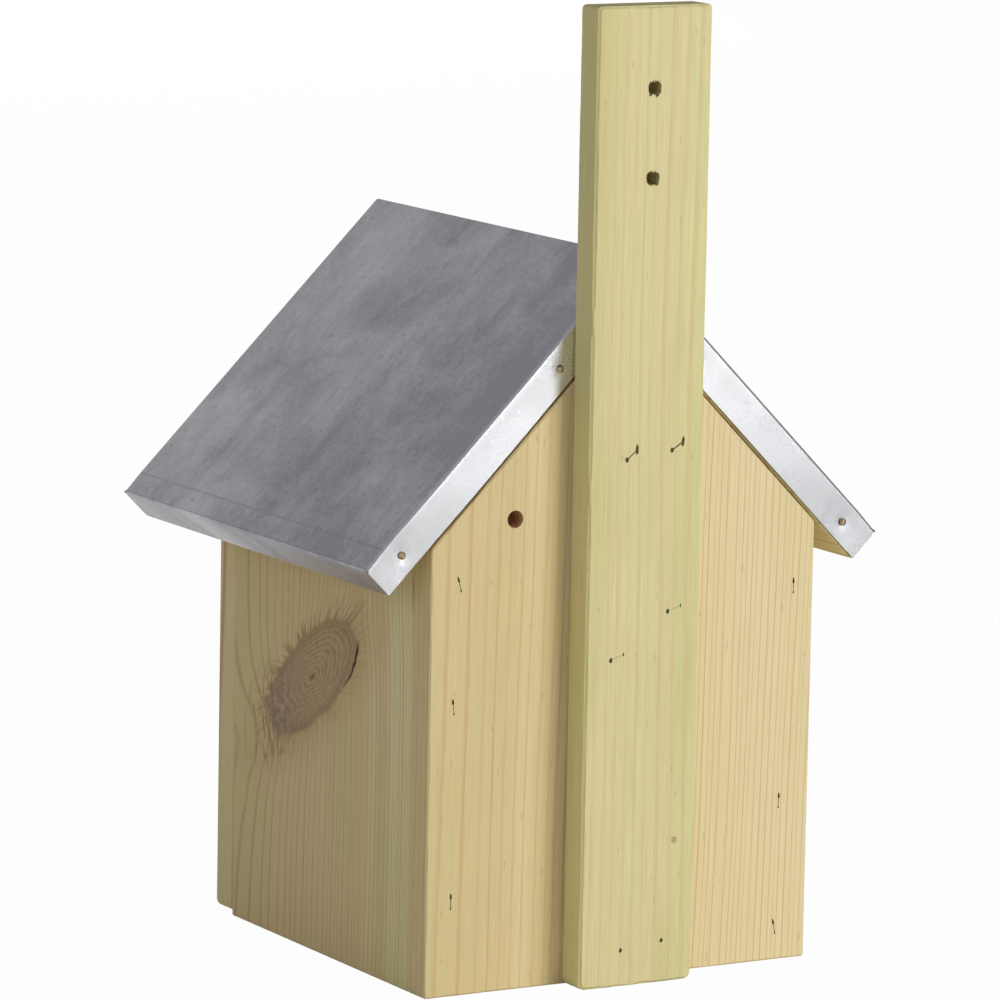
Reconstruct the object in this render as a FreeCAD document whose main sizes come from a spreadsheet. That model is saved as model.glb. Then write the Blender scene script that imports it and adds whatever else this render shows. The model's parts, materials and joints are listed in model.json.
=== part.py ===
"""A wooden bird nest box with a folded galvanised saddle roof and a hanging batten, in millimetres.

The frame: +Z is up, the front with the entrance hole faces -Y, and the batten's outer face, which goes
against the wall or tree, faces +Y. The origin is the middle of the box's footprint, at its lower edge.
"""
import FreeCAD, Part
import os

import Sketcher

Vector = FreeCAD.Vector
UP = Vector(0, 0, 1)
LEFT = Vector(-1, 0, 0)
BACK = Vector(0, 1, 0)
FRONT = Vector(0, -1, 0)

SIZES = {
    # the four walls
    "box_width": 150,
    "box_depth": 152,
    "panel_thickness": 12,
    "side_thickness": 18,
    "shoulder_height": 153.5,
    "gable_gap": 1,
    # the vent hole in the back
    "vent_diameter": 6,
    "vent_inset": 31.7,
    "vent_rise": 7.3,
    # the floor
    "floor_thickness": 12,
    "floor_rise": 5,
    "drain_diameter": 6,
    "drain_inset": 25,
    # the fixed gable above the door, with the entrance hole
    "entrance_diameter": 32,
    "entrance_rise": 36,
    "entrance_round": 1.5,
    # the cleaning door below it
    "door_rise": 2,
    "door_gap": 1,
    "door_roof_clearance": 2.8,
    "door_round": 2,
    # the roof boards
    "roof_pitch": 45,
    "roof_board_thickness": 13,
    "roof_board_length": 127.5,
    "front_overhang": 26.3,
    # the folded sheet over them
    "sheet_thickness": 0.6,
    "flange_depth": 13,
    "fold_gap": 0.4,
    # the hanging batten
    "batten_width": 44,
    "batten_thickness": 12,
    "batten_length": 332,
    "batten_round": 2,
    "hang_hole_diameter": 5,
    "hang_hole_drop": 27.5,
    "hang_hole_spacing": 30,
    # narrow crown staples, sunk below the wood's face
    "staple_crown": 6,
    "staple_wire": 1.1,
    "staple_sink": 0.6,
    "panel_staple_leg": 25,
    "batten_staple_leg": 20,
    "fastener_clearance": 0.05,
    # where each staple of the back panel stands: in from the panel's edge, up or down, and its lean
    "right_top_inset": 10.8,
    "right_top_drop": 13.2,
    "right_top_lean": 15,
    "right_middle_inset": 9.2,
    "right_middle_height": 99,
    "right_middle_lean": 7,
    "right_low_inset": 9.5,
    "right_low_height": 32.7,
    "right_low_lean": 1,
    "left_top_inset": 8,
    "left_top_drop": 22.7,
    "left_top_lean": 0,
    "left_middle_inset": 11.8,
    "left_middle_height": 56,
    "left_middle_lean": -2,
    "left_low_inset": 12.5,
    "left_low_height": 11.8,
    "left_low_lean": 11,
    # the staples of the batten: the upper ones measured from the shoulder, the low ones from the lower edge
    "batten_left_spread": 12,
    "batten_left_upper_rise": 30.5,
    "batten_left_middle_drop": 24.8,
    "batten_left_low_height": 15.2,
    "batten_right_upper_spread": 5.7,
    "batten_right_upper_rise": 28.5,
    "batten_right_middle_spread": 9.9,
    "batten_right_middle_drop": 40,
    "batten_right_low_spread": 4,
    "batten_right_low_height": 13.2,
    "batten_left_upper_lean": -58,
    "batten_right_upper_lean": -51,
    "batten_lean": -71,
    # the staples that nothing shows
    "floor_staple_spread": 18.5,
    "floor_staple_pitch": 70,
    "gable_staple_inset": 9,
    "gable_staple_end": 6,
    "roof_staple_inset": 6,
    "roof_staple_end": 20,
    # the copper pins through the sheet's gable flanges
    "nail_head_diameter": 2.8,
    "nail_head_height": 0.7,
    "nail_diameter": 1.4,
    "nail_length": 20,
    "nail_from_ridge": 31.9,
    "nail_from_eave": 12,
    # the two butt hinges on the left wall
    "hinge_height": 25,
    "hinge_end": 22,
    "leaf_width": 8,
    "leaf_thickness": 0.8,
    "barrel_diameter": 3.4,
    "pin_diameter": 2,
    "pin_clearance": 0.05,
    "hinge_clearance": 0.3,
    "hinge_screw_diameter": 2.2,
    "hinge_screw_head_diameter": 4,
    "hinge_screw_head_height": 1,
    "hinge_screw_length": 10,
    "hinge_screw_pitch": 15,
    # the wooden button that turns over the door's upper edge
    "button_length": 38,
    "button_width": 12,
    "button_thickness": 8,
    "button_round": 5,
    "button_inset": 30,
    "button_rise": 9.5,
    "button_clearance": 0.2,
    "button_screw_diameter": 3.5,
    "button_screw_head_diameter": 7,
    "button_screw_head_height": 2,
    "button_screw_grip": 9,
}

doc = FreeCAD.newDocument("bird_nest_box")
sheet = doc.addObject("Spreadsheet::Sheet", "Sizes")
for row, (name, size) in enumerate(SIZES.items(), 1):
    sheet.set(f"A{row}", name)
    sheet.set(f"B{row}", str(size))
    sheet.setAlias(f"B{row}", name)
doc.recompute()

# places that several pieces share, written as expressions of the sheet's sizes
SINE = "sin(Sizes.roof_pitch * 1 deg)"
COSINE = "cos(Sizes.roof_pitch * 1 deg)"
TANGENT = "tan(Sizes.roof_pitch * 1 deg)"
SHOULDER = "Sizes.shoulder_height"
HALF_WIDTH = "(Sizes.box_width / 2)"
INNER_HALF = f"({HALF_WIDTH} - Sizes.side_thickness)"
ROOF_DEPTH = "(Sizes.front_overhang + Sizes.box_depth)"
WALL_PLANE = f"((Sizes.nail_head_height + {ROOF_DEPTH} + Sizes.batten_thickness) / 2)"
BACK_FACE = f"({WALL_PLANE} - Sizes.batten_thickness)"
FRONT_FACE = f"({BACK_FACE} - Sizes.box_depth)"
SIDE_BACK = f"({BACK_FACE} - Sizes.panel_thickness)"
SIDE_FRONT = f"({FRONT_FACE} + Sizes.panel_thickness)"
SIDE_DEPTH = "(Sizes.box_depth - 2 * Sizes.panel_thickness)"
FLOOR_MIDDLE = "(Sizes.floor_rise + Sizes.floor_thickness / 2)"
RIDGE = f"({SHOULDER} + {HALF_WIDTH} * {TANGENT})"
GABLE_SHOULDER = f"({SHOULDER} - Sizes.gable_gap)"
GABLE_TOP = f"({RIDGE} - Sizes.gable_gap)"


def on_slope(along, up, side="1"):
    """The x and z of a point on one roof slope: down the slope from the inner ridge line, and out from it."""
    x = f"({side} * (({along}) * {COSINE} + ({up}) * {SINE}))"
    z = f"({RIDGE} - ({along}) * {SINE} + ({up}) * {COSINE})"
    return x, z


EAVE_LOW = on_slope("Sizes.roof_board_length", "0")[1]
DOOR_TOP = f"({EAVE_LOW} - Sizes.door_roof_clearance)"
GABLE_LOW = f"({DOOR_TOP} + Sizes.door_gap)"
HINGE_X = f"(-{HALF_WIDTH} - Sizes.barrel_diameter / 2 - Sizes.hinge_clearance)"
LEAF_START = "(Sizes.barrel_diameter / 2 + Sizes.hinge_clearance)"
LEAF_FACE = f"(-{HALF_WIDTH} - Sizes.leaf_thickness)"
BUTTON_X = f"({HALF_WIDTH} - Sizes.button_inset)"
BUTTON_Z = f"({GABLE_LOW} + Sizes.button_rise)"
UPPER_HINGE_Z = f"({DOOR_TOP} - Sizes.hinge_end)"
LOWER_HINGE_Z = "(Sizes.door_rise + Sizes.hinge_end)"


def value(expression):
    """The number that an expression of the sizes comes to."""
    return float(sheet.evalExpression(expression))


def bind(item, **expressions):
    """Ties properties of an object to expressions: a key such as Placement_Base_x is a path with dots."""
    for path, expression in expressions.items():
        item.setExpression(path.replace("_", "."), expression)


def new_body(label, x="0", y="0", z="0"):
    body = doc.addObject("PartDesign::Body", label)
    bind(body, Placement_Base_x=x, Placement_Base_y=y, Placement_Base_z=z)
    return body


def new_sketch(body, plane, offset="0"):
    """An empty sketch on one of the body's origin planes, moved along the plane's normal."""
    support = next(item for item in body.Origin.OriginFeatures if item.Role == plane)
    sketch = body.newObject("Sketcher::SketchObject", f"{body.Name}_sketch")
    sketch.AttachmentSupport = [(support, "")]
    sketch.MapMode = "FlatFace"
    bind(sketch, AttachmentOffset_Base_z=offset)
    return sketch


def hold(sketch, geometry, point, place):
    """Ties a point of a sketch's geometry to a pair of expressions, measured from the sketch's origin."""
    for kind, expression in zip(("DistanceX", "DistanceY"), place):
        constraint = Sketcher.Constraint(kind, -1, 1, geometry, point, value(expression))
        sketch.setExpression(f"Constraints[{sketch.addConstraint(constraint)}]", expression)


def draw_outline(sketch, corners):
    """A closed outline of straight lines through corners given as pairs of expressions."""
    points = [Vector(value(x), value(y), 0) for x, y in corners]
    count = len(points)
    lines = [sketch.addGeometry(Part.LineSegment(points[i], points[(i + 1) % count])) for i in range(count)]
    for i, line in enumerate(lines):
        sketch.addConstraint(Sketcher.Constraint("Coincident", line, 2, lines[(i + 1) % count], 1))
    for line, corner in zip(lines, corners):
        hold(sketch, line, 1, corner)


def draw_hole(sketch, place, diameter):
    """A circle in a sketch, which leaves a hole in what is padded from it."""
    centre = Vector(value(place[0]), value(place[1]), 0)
    circle = sketch.addGeometry(Part.Circle(centre, Vector(0, 0, 1), value(diameter) / 2))
    hold(sketch, circle, 3, place)
    constraint = Sketcher.Constraint("Diameter", circle, value(diameter))
    sketch.setExpression(f"Constraints[{sketch.addConstraint(constraint)}]", diameter)


def pad(body, length, outlines, holes=(), plane="XZ_Plane", offset="0", both_ways=False):
    """Pads outlines with holes in them: from an XZ plane this goes towards the front."""
    sketch = new_sketch(body, plane, offset)
    for corners in outlines:
        draw_outline(sketch, corners)
    for place, diameter in holes:
        draw_hole(sketch, place, diameter)
    feature = body.newObject("PartDesign::Pad", f"{body.Name}_pad")
    feature.Profile = sketch
    if both_ways:
        feature.SideType = "Symmetric"
    bind(feature, Length=length)
    doc.recompute()
    return feature


def turn(body, corners):
    """Turns an outline on the XZ plane about the body's Z axis."""
    sketch = new_sketch(body, "XZ_Plane")
    draw_outline(sketch, corners)
    feature = body.newObject("PartDesign::Revolution", f"{body.Name}_turned")
    feature.Profile = sketch
    feature.ReferenceAxis = (sketch, ["V_Axis"])
    doc.recompute()


def round_edges(body, feature, radius, wanted):
    """Rounds the edges of a feature that the test wanted picks."""
    names = [f"Edge{i}" for i, edge in enumerate(feature.Shape.Edges, 1) if wanted(edge)]
    fillet = body.newObject("PartDesign::Fillet", f"{body.Name}_round")
    fillet.Base = (feature, names)
    bind(fillet, Radius=radius)
    doc.recompute()


def rectangle(low_x, low_y, high_x, high_y):
    return [(low_x, low_y), (high_x, low_y), (high_x, high_y), (low_x, high_y)]


def facing(outward, crown=UP):
    """The turn that brings a fastener's Z axis to outward and its crown, along X, to crown."""
    return FreeCAD.Rotation(crown, outward.cross(crown), outward, "ZXY")


def group(label, pattern, places):
    """Copies of one pattern, each at three expressions and a turn, as one object of separate solids."""
    copies = []
    for x, y, z, rotation in places:
        copy = doc.addObject("App::Link", f"{label}_copy")
        copy.LinkedObject = pattern
        copy.Placement = FreeCAD.Placement(Vector(), rotation)
        bind(copy, Placement_Base_x=x, Placement_Base_y=y, Placement_Base_z=z)
        copies.append(copy)
    together = doc.addObject("Part::Compound", label)
    together.Links = copies
    return together


def cut(label, base, tools):
    """A piece with the holes and slots of its fasteners cut out of it."""
    together = doc.addObject("Part::Compound", f"{label}_cuts")
    together.Links = tools
    piece = doc.addObject("Part::Cut", label)
    piece.Base = base
    piece.Tool = together
    return piece


def staple_pattern(label, leg, grow, top):
    """A staple about its crown's middle, with its legs along -Z: grow widens it into the slot it sits in."""
    half = f"(Sizes.staple_crown / 2 + {grow})"
    inside = f"(Sizes.staple_crown / 2 - Sizes.staple_wire - {grow})"
    under = f"(-Sizes.staple_sink - Sizes.staple_wire - {grow})"
    foot = f"(-Sizes.staple_sink - {leg} - {grow})"
    corners = [
        (f"-{half}", top), (f"-{half}", foot), (f"-{inside}", foot), (f"-{inside}", under),
        (inside, under), (inside, foot), (half, foot), (half, top),
    ]
    body = new_body(label)
    pad(body, f"Sizes.staple_wire + 2 * {grow}", [corners], both_ways=True)
    return body


# a head's flat top as a share of its radius, and its upright edge as a share of its height
CROWN_FLAT = 0.6
CROWN_EDGE = 0.4


def nail_pattern(label, head_diameter, head_height, diameter, length):
    """A round headed nail or screw with its head's underside at the origin and its point along -Z."""
    shank = f"({diameter} / 2)"
    rim = f"({head_diameter} / 2)"
    corners = [
        ("0", head_height),
        (f"{rim} * {CROWN_FLAT}", head_height),
        (rim, f"{head_height} * {CROWN_EDGE}"),
        (rim, "0"),
        (shank, "0"),
        (shank, f"{diameter} - {length}"),
        ("0", f"-{length}"),
    ]
    body = new_body(label)
    turn(body, corners)
    return body


def hole_pattern(label, diameter, length):
    """The hole that a nail or screw sits in, from a little above the face."""
    body = new_body(label)
    radius = f"({diameter} / 2 + Sizes.fastener_clearance)"
    corners = rectangle("0", f"-{length} - Sizes.fastener_clearance", radius, diameter)
    turn(body, corners)
    return body


# the fasteners' patterns, and the slots and holes that they sit in
SUNK = "-Sizes.staple_sink"
ABOVE = "Sizes.staple_wire"
CLEAR = "Sizes.fastener_clearance"
PANEL_LEG = "Sizes.panel_staple_leg"
BATTEN_LEG = "Sizes.batten_staple_leg"
panel_staple = staple_pattern("panel_staple", PANEL_LEG, "0", SUNK)
panel_slot = staple_pattern("panel_staple_slot", PANEL_LEG, CLEAR, ABOVE)
batten_staple = staple_pattern("batten_staple", BATTEN_LEG, "0", SUNK)
batten_slot = staple_pattern("batten_staple_slot", BATTEN_LEG, CLEAR, ABOVE)
roof_nail = nail_pattern(
    "roof_nail", "Sizes.nail_head_diameter", "Sizes.nail_head_height",
    "Sizes.nail_diameter", "Sizes.nail_length",
)
roof_nail_hole = hole_pattern("roof_nail_hole", "Sizes.nail_diameter", "Sizes.nail_length")
hinge_screw = nail_pattern(
    "hinge_screw", "Sizes.hinge_screw_head_diameter", "Sizes.hinge_screw_head_height",
    "Sizes.hinge_screw_diameter", "Sizes.hinge_screw_length",
)
hinge_screw_hole = hole_pattern(
    "hinge_screw_hole", "Sizes.hinge_screw_diameter", "Sizes.hinge_screw_length"
)
BUTTON_SCREW_LENGTH = "(Sizes.button_thickness + 2 * Sizes.button_clearance + Sizes.button_screw_grip)"
button_screw = nail_pattern(
    "button_screw", "Sizes.button_screw_head_diameter", "Sizes.button_screw_head_height",
    "Sizes.button_screw_diameter", BUTTON_SCREW_LENGTH,
)
button_screw_hole = hole_pattern("button_screw_hole", "Sizes.button_screw_diameter", BUTTON_SCREW_LENGTH)


def leaning(degrees):
    """A staple in the back face whose crown leans from upright towards +X."""
    return facing(BACK, FreeCAD.Rotation(BACK, value(degrees)).multVec(UP))


# the staples that hold the back panel to the side walls
back_places = []
for label, side in (("right", 1), ("left", -1)):
    heights = {
        "top": f"{SHOULDER} - Sizes.{label}_top_drop",
        "middle": f"Sizes.{label}_middle_height",
        "low": f"Sizes.{label}_low_height",
    }
    for level, height in heights.items():
        over_edge = f"{side} * ({HALF_WIDTH} - Sizes.{label}_{level}_inset)"
        back_places.append((over_edge, BACK_FACE, height, leaning(f"Sizes.{label}_{level}_lean")))
back_staples = group("back_panel_staples", panel_staple, back_places)
back_slots = group("back_panel_slots", panel_slot, back_places)

# the staples that hold the batten to the back panel, all leaning the way the gun was held
BATTEN_LEFT = "-Sizes.batten_left_spread"
BATTEN_LEAN = "Sizes.batten_lean"
batten_spots = [
    (BATTEN_LEFT, f"{SHOULDER} + Sizes.batten_left_upper_rise", "Sizes.batten_left_upper_lean"),
    (BATTEN_LEFT, f"{SHOULDER} - Sizes.batten_left_middle_drop", BATTEN_LEAN),
    (BATTEN_LEFT, "Sizes.batten_left_low_height", BATTEN_LEAN),
    (
        "Sizes.batten_right_upper_spread", f"{SHOULDER} + Sizes.batten_right_upper_rise",
        "Sizes.batten_right_upper_lean",
    ),
    ("Sizes.batten_right_middle_spread", f"{SHOULDER} - Sizes.batten_right_middle_drop", BATTEN_LEAN),
    ("Sizes.batten_right_low_spread", "Sizes.batten_right_low_height", BATTEN_LEAN),
]
batten_places = [(x, WALL_PLANE, z, leaning(lean)) for x, z, lean in batten_spots]
batten_staples = group("batten_staples", batten_staple, batten_places)
batten_slots = group("batten_slots", batten_slot, batten_places)

# the floor's staples: two through the back panel, under the batten, and two through the left wall
SIDE_MIDDLE = f"({SIDE_FRONT} + {SIDE_DEPTH} / 2)"
floor_places = []
for side in (-1, 1):
    along_wall = f"{SIDE_MIDDLE} + {side} * Sizes.floor_staple_pitch / 2"
    floor_places.append((f"{side} * Sizes.floor_staple_spread", BACK_FACE, FLOOR_MIDDLE, facing(BACK)))
    floor_places.append((f"-{HALF_WIDTH}", along_wall, FLOOR_MIDDLE, facing(LEFT, BACK)))
floor_staples = group("floor_staples", panel_staple, floor_places)
floor_slots = group("floor_slots", panel_slot, floor_places)

# the gable's staples, two into the front edge of each side wall, with level crowns
GABLE_SLOPE = f"({GABLE_SHOULDER} + Sizes.gable_staple_inset * {TANGENT})"
gable_heights = (f"{GABLE_LOW} + Sizes.gable_staple_end", f"{GABLE_SLOPE} - Sizes.gable_staple_end")
gable_places = []
for side in (-1, 1):
    over_edge = f"{side} * ({HALF_WIDTH} - Sizes.gable_staple_inset)"
    for height in gable_heights:
        gable_places.append((over_edge, FRONT_FACE, height, facing(FRONT, LEFT)))
gable_staples = group("gable_staples", panel_staple, gable_places)
gable_slots = group("gable_slots", panel_slot, gable_places)


def slope_normal(side):
    """The outward direction of one roof slope."""
    return FreeCAD.Rotation(BACK, side * value("Sizes.roof_pitch")).multVec(UP)


# the roof boards' staples: three down into each side wall, and three through the right board at the ridge
ROOF_STAPLE_Y = [
    f"{SIDE_FRONT} + Sizes.roof_staple_end",
    SIDE_MIDDLE,
    f"{SIDE_BACK} - Sizes.roof_staple_end",
]
ROOF_TOP = "Sizes.roof_board_thickness"
roof_places = []
for side in (-1, 1):
    over_wall = on_slope(f"({HALF_WIDTH} - Sizes.roof_staple_inset) / {COSINE}", ROOF_TOP, side)
    for y in ROOF_STAPLE_Y:
        roof_places.append((over_wall[0], y, over_wall[1], facing(slope_normal(side), BACK)))
roof_staples = group("roof_board_staples", panel_staple, roof_places)
roof_slots = group("roof_board_slots", panel_slot, roof_places)
ridge_over = on_slope("-Sizes.roof_board_thickness / 2", ROOF_TOP)
ridge_turn = facing(slope_normal(1), BACK)
ridge_places = [(ridge_over[0], y, ridge_over[1], ridge_turn) for y in ROOF_STAPLE_Y]
ridge_staples = group("ridge_staples", panel_staple, ridge_places)
ridge_slots = group("ridge_slots", panel_slot, ridge_places)

# the copper pins, four at each end of the roof, at the middle of the boards' thickness
NAIL_STEPS = ("Sizes.nail_from_ridge", "Sizes.roof_board_length - Sizes.nail_from_eave")
BOARD_MIDDLE = "Sizes.roof_board_thickness / 2"
nail_marks = [on_slope(step, BOARD_MIDDLE, side) for side in (-1, 1) for step in NAIL_STEPS]
ROOF_FRONT = f"({FRONT_FACE} - Sizes.front_overhang)"
rear_nail_places = [(x, BACK_FACE, z, facing(BACK)) for x, z in nail_marks]
front_nail_places = [(x, ROOF_FRONT, z, facing(FRONT)) for x, z in nail_marks]
rear_nails = group("roof_sheet_nails_rear", roof_nail, rear_nail_places)
front_nails = group("roof_sheet_nails_front", roof_nail, front_nail_places)
nail_holes = group("roof_nail_holes", roof_nail_hole, rear_nail_places + front_nail_places)

# the back panel: one board, with its gable just under the roof boards
back_board = new_body("back_board", y=BACK_FACE)
gable_outline = [
    (f"-{HALF_WIDTH}", "0"), (HALF_WIDTH, "0"), (HALF_WIDTH, GABLE_SHOULDER), ("0", GABLE_TOP),
    (f"-{HALF_WIDTH}", GABLE_SHOULDER),
]
vent = (f"{HALF_WIDTH} - Sizes.vent_inset", f"{SHOULDER} + Sizes.vent_rise")
pad(back_board, "Sizes.panel_thickness", [gable_outline], [(vent, "Sizes.vent_diameter")])
back_panel = cut("back_panel", back_board, [back_slots, batten_slots, floor_slots])

# the side walls stand between the front and the back, with their upper edges cut to the roof's slope
side_boards = {}
for label, side in (("right", 1), ("left", -1)):
    board = new_body(f"{label}_side_board", y=SIDE_BACK)
    corners = [
        (f"{side} * {INNER_HALF}", "0"), (f"{side} * {HALF_WIDTH}", "0"),
        (f"{side} * {HALF_WIDTH}", SHOULDER),
        (f"{side} * {INNER_HALF}", f"{SHOULDER} + Sizes.side_thickness * {TANGENT}"),
    ]
    pad(board, SIDE_DEPTH, [corners])
    side_boards[label] = board

# the floor lies between all four walls, a little above their lower edges
floor_board = new_body("floor_board", z="Sizes.floor_rise")
drains = [
    ((f"{side} * ({INNER_HALF} - Sizes.drain_inset)", place), "Sizes.drain_diameter")
    for side in (-1, 1)
    for place in (f"{SIDE_FRONT} + Sizes.drain_inset", f"{SIDE_BACK} - Sizes.drain_inset")
]
floor_outline = rectangle(f"-{INNER_HALF}", SIDE_FRONT, INNER_HALF, SIDE_BACK)
pad(floor_board, "Sizes.floor_thickness", [floor_outline], drains, plane="XY_Plane")
floor_panel = cut("floor_panel", floor_board, [floor_slots])

# the fixed upper front, with the entrance hole's outer rim rounded
gable_board = new_body("gable_board", y=SIDE_FRONT)
front_outline = [
    (f"-{HALF_WIDTH}", GABLE_LOW), (HALF_WIDTH, GABLE_LOW), (HALF_WIDTH, GABLE_SHOULDER), ("0", GABLE_TOP),
    (f"-{HALF_WIDTH}", GABLE_SHOULDER),
]
entrance = ("0", f"{GABLE_LOW} + Sizes.entrance_rise")
entrance_hole = (entrance, "Sizes.entrance_diameter")
gable_pad = pad(gable_board, "Sizes.panel_thickness", [front_outline], [entrance_hole])
front_depth = value("-Sizes.panel_thickness")
SAME_PLACE = 0.01


def is_entrance_rim(edge):
    return edge.Curve.TypeId == "Part::GeomCircle" and abs(edge.Curve.Center.y - front_depth) < SAME_PLACE


round_edges(gable_board, gable_pad, "Sizes.entrance_round", is_entrance_rim)
BUTTON_FRONT = f"{FRONT_FACE} - Sizes.button_thickness - 2 * Sizes.button_clearance"
button_place = (BUTTON_X, BUTTON_FRONT, BUTTON_Z, facing(FRONT))
button_hole = group("turn_button_hole", button_screw_hole, [button_place])
front_gable = cut("front_gable", gable_board, [gable_slots, button_hole])

# the cleaning door, in the plane of the gable, with its lower outer edge rounded
door_board = new_body("door_board", y=SIDE_FRONT)
door_outline = rectangle(f"-{HALF_WIDTH}", "Sizes.door_rise", HALF_WIDTH, DOOR_TOP)
door_pad = pad(door_board, "Sizes.panel_thickness", [door_outline])
door_low = value("Sizes.door_rise")


def is_door_sill(edge):
    middle = edge.CenterOfMass
    return abs(middle.y - front_depth) < SAME_PLACE and abs(middle.z - door_low) < SAME_PLACE


round_edges(door_board, door_pad, "Sizes.door_round", is_door_sill)

# the roof boards: the right one laps over the upper end of the left one
LAP = (f"-{BOARD_MIDDLE} / {SINE}", f"{RIDGE} + {BOARD_MIDDLE} / {COSINE}")
RIDGE_TOP = ("0", f"{RIDGE} + Sizes.roof_board_thickness / {COSINE}")
INNER_RIDGE = ("0", RIDGE)
BOARD_DEPTH = f"({ROOF_DEPTH} - 2 * Sizes.sheet_thickness)"
roof_boards = {}
for label, side, ridge_corners in (("right", 1, [LAP, RIDGE_TOP]), ("left", -1, [INNER_RIDGE, LAP])):
    board = new_body(f"{label}_board", y=f"{BACK_FACE} - Sizes.sheet_thickness")
    low = on_slope("Sizes.roof_board_length", "0", side)
    high = on_slope("Sizes.roof_board_length", ROOF_TOP, side)
    pad(board, BOARD_DEPTH, [[low, *ridge_corners, high]])
    roof_boards[label] = board
right_roof_board = cut("right_roof_board", roof_boards["right"], [roof_slots, ridge_slots, nail_holes])
left_roof_board = cut("left_roof_board", roof_boards["left"], [roof_slots, ridge_slots, nail_holes])
right_side_panel = cut("right_side_panel", side_boards["right"], [back_slots, gable_slots, roof_slots])

# the sheet: two slopes folded at the ridge, and flanges down over the eaves and the gable ends
sheet_body = new_body("sheet_metal", y=BACK_FACE)
SHEET_END = "(Sizes.roof_board_length + Sizes.sheet_thickness)"
SHEET_TOP = "(Sizes.roof_board_thickness + Sizes.sheet_thickness)"
FLANGE_LOW = f"({SHEET_TOP} - Sizes.flange_depth)"
FLANGE_INSET = "(Sizes.sheet_thickness + Sizes.fold_gap)"
slopes = [
    on_slope(SHEET_END, ROOF_TOP),
    RIDGE_TOP,
    on_slope(SHEET_END, ROOF_TOP, "-1"),
    on_slope(SHEET_END, SHEET_TOP, "-1"),
    ("0", f"{RIDGE} + {SHEET_TOP} / {COSINE}"),
    on_slope(SHEET_END, SHEET_TOP),
]
pad(sheet_body, ROOF_DEPTH, [slopes])
eave_flanges = [
    [
        on_slope("Sizes.roof_board_length", ROOF_TOP, side), on_slope(SHEET_END, ROOF_TOP, side),
        on_slope(SHEET_END, FLANGE_LOW, side), on_slope("Sizes.roof_board_length", FLANGE_LOW, side),
    ]
    for side in (-1, 1)
]
pad(sheet_body, f"{ROOF_DEPTH} - 2 * {FLANGE_INSET}", eave_flanges, offset=FLANGE_INSET)


def at_mitre(up, side):
    """A point of a gable flange beside the upright slit at the ridge."""
    return f"{side} * Sizes.fold_gap / 2", f"{RIDGE} - Sizes.fold_gap / 2 * {TANGENT} + {up} / {COSINE}"


FLANGE_END = "(Sizes.roof_board_length - Sizes.fold_gap)"
gable_flanges = [
    [
        at_mitre(ROOF_TOP, side), on_slope(FLANGE_END, ROOF_TOP, side),
        on_slope(FLANGE_END, FLANGE_LOW, side), at_mitre(FLANGE_LOW, side),
    ]
    for side in (-1, 1)
]
for offset in ("0", f"{ROOF_DEPTH} - Sizes.sheet_thickness"):
    pad(sheet_body, "Sizes.sheet_thickness", gable_flanges, offset=offset)
roof_sheet = cut("roof_sheet", sheet_body, [nail_holes])

# the batten, a lath with all its edges rounded, and its two hang holes above the roof
batten_lath = new_body("batten_lath", y=WALL_PLANE)
HANG_HIGH = "(Sizes.batten_length - Sizes.hang_hole_drop)"
HANG_LOW = f"({HANG_HIGH} - Sizes.hang_hole_spacing)"
hang_holes = [(("0", height), "Sizes.hang_hole_diameter") for height in (HANG_HIGH, HANG_LOW)]
batten_outline = rectangle("-Sizes.batten_width / 2", "0", "Sizes.batten_width / 2", "Sizes.batten_length")
batten_pad = pad(batten_lath, "Sizes.batten_thickness", [batten_outline], hang_holes)


def is_straight(edge):
    return edge.Curve.TypeId == "Part::GeomLine"


round_edges(batten_lath, batten_pad, "Sizes.batten_round", is_straight)
hanging_batten = cut("hanging_batten", batten_lath, [batten_slots])


def hinge_leaf(label, height, side, spans, holes):
    """A leaf on the left wall's face: a plate, and knuckles on some thirds of it, bored for the pin."""
    third = "(Sizes.hinge_height / 3)"
    low = f"({height} - Sizes.hinge_height / 2)"
    plate = doc.addObject("Part::Box", f"{label}_plate")
    near = f"{SIDE_FRONT} + {LEAF_START}"
    if side < 0:
        near = f"{SIDE_FRONT} - {LEAF_START} - Sizes.leaf_width"
    bind(plate, Length="Sizes.leaf_thickness", Width="Sizes.leaf_width", Height="Sizes.hinge_height")
    bind(plate, Placement_Base_x=LEAF_FACE, Placement_Base_y=near, Placement_Base_z=low)
    solids = [plate]
    for start in spans:
        knuckle_low = f"{low} + {start} * {third} + Sizes.pin_clearance"
        length = f"{third} - 2 * Sizes.pin_clearance"
        tab = doc.addObject("Part::Box", f"{label}_tab")
        tab_near = SIDE_FRONT if side > 0 else f"{SIDE_FRONT} - {LEAF_START}"
        bind(tab, Length="Sizes.leaf_thickness", Width=LEAF_START, Height=length)
        bind(tab, Placement_Base_x=LEAF_FACE, Placement_Base_y=tab_near, Placement_Base_z=knuckle_low)
        knuckle = doc.addObject("Part::Cylinder", f"{label}_knuckle")
        bind(knuckle, Radius="Sizes.barrel_diameter / 2", Height=length)
        bind(knuckle, Placement_Base_x=HINGE_X, Placement_Base_y=SIDE_FRONT, Placement_Base_z=knuckle_low)
        solids += [tab, knuckle]
    blank = doc.addObject("Part::MultiFuse", f"{label}_blank")
    blank.Shapes = solids
    bore = doc.addObject("Part::Cylinder", f"{label}_bore")
    bind(bore, Radius="Sizes.pin_diameter / 2 + Sizes.pin_clearance", Height="Sizes.hinge_height")
    bind(bore, Placement_Base_x=HINGE_X, Placement_Base_y=SIDE_FRONT, Placement_Base_z=low)
    return cut(label, blank, [bore, holes])


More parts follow.
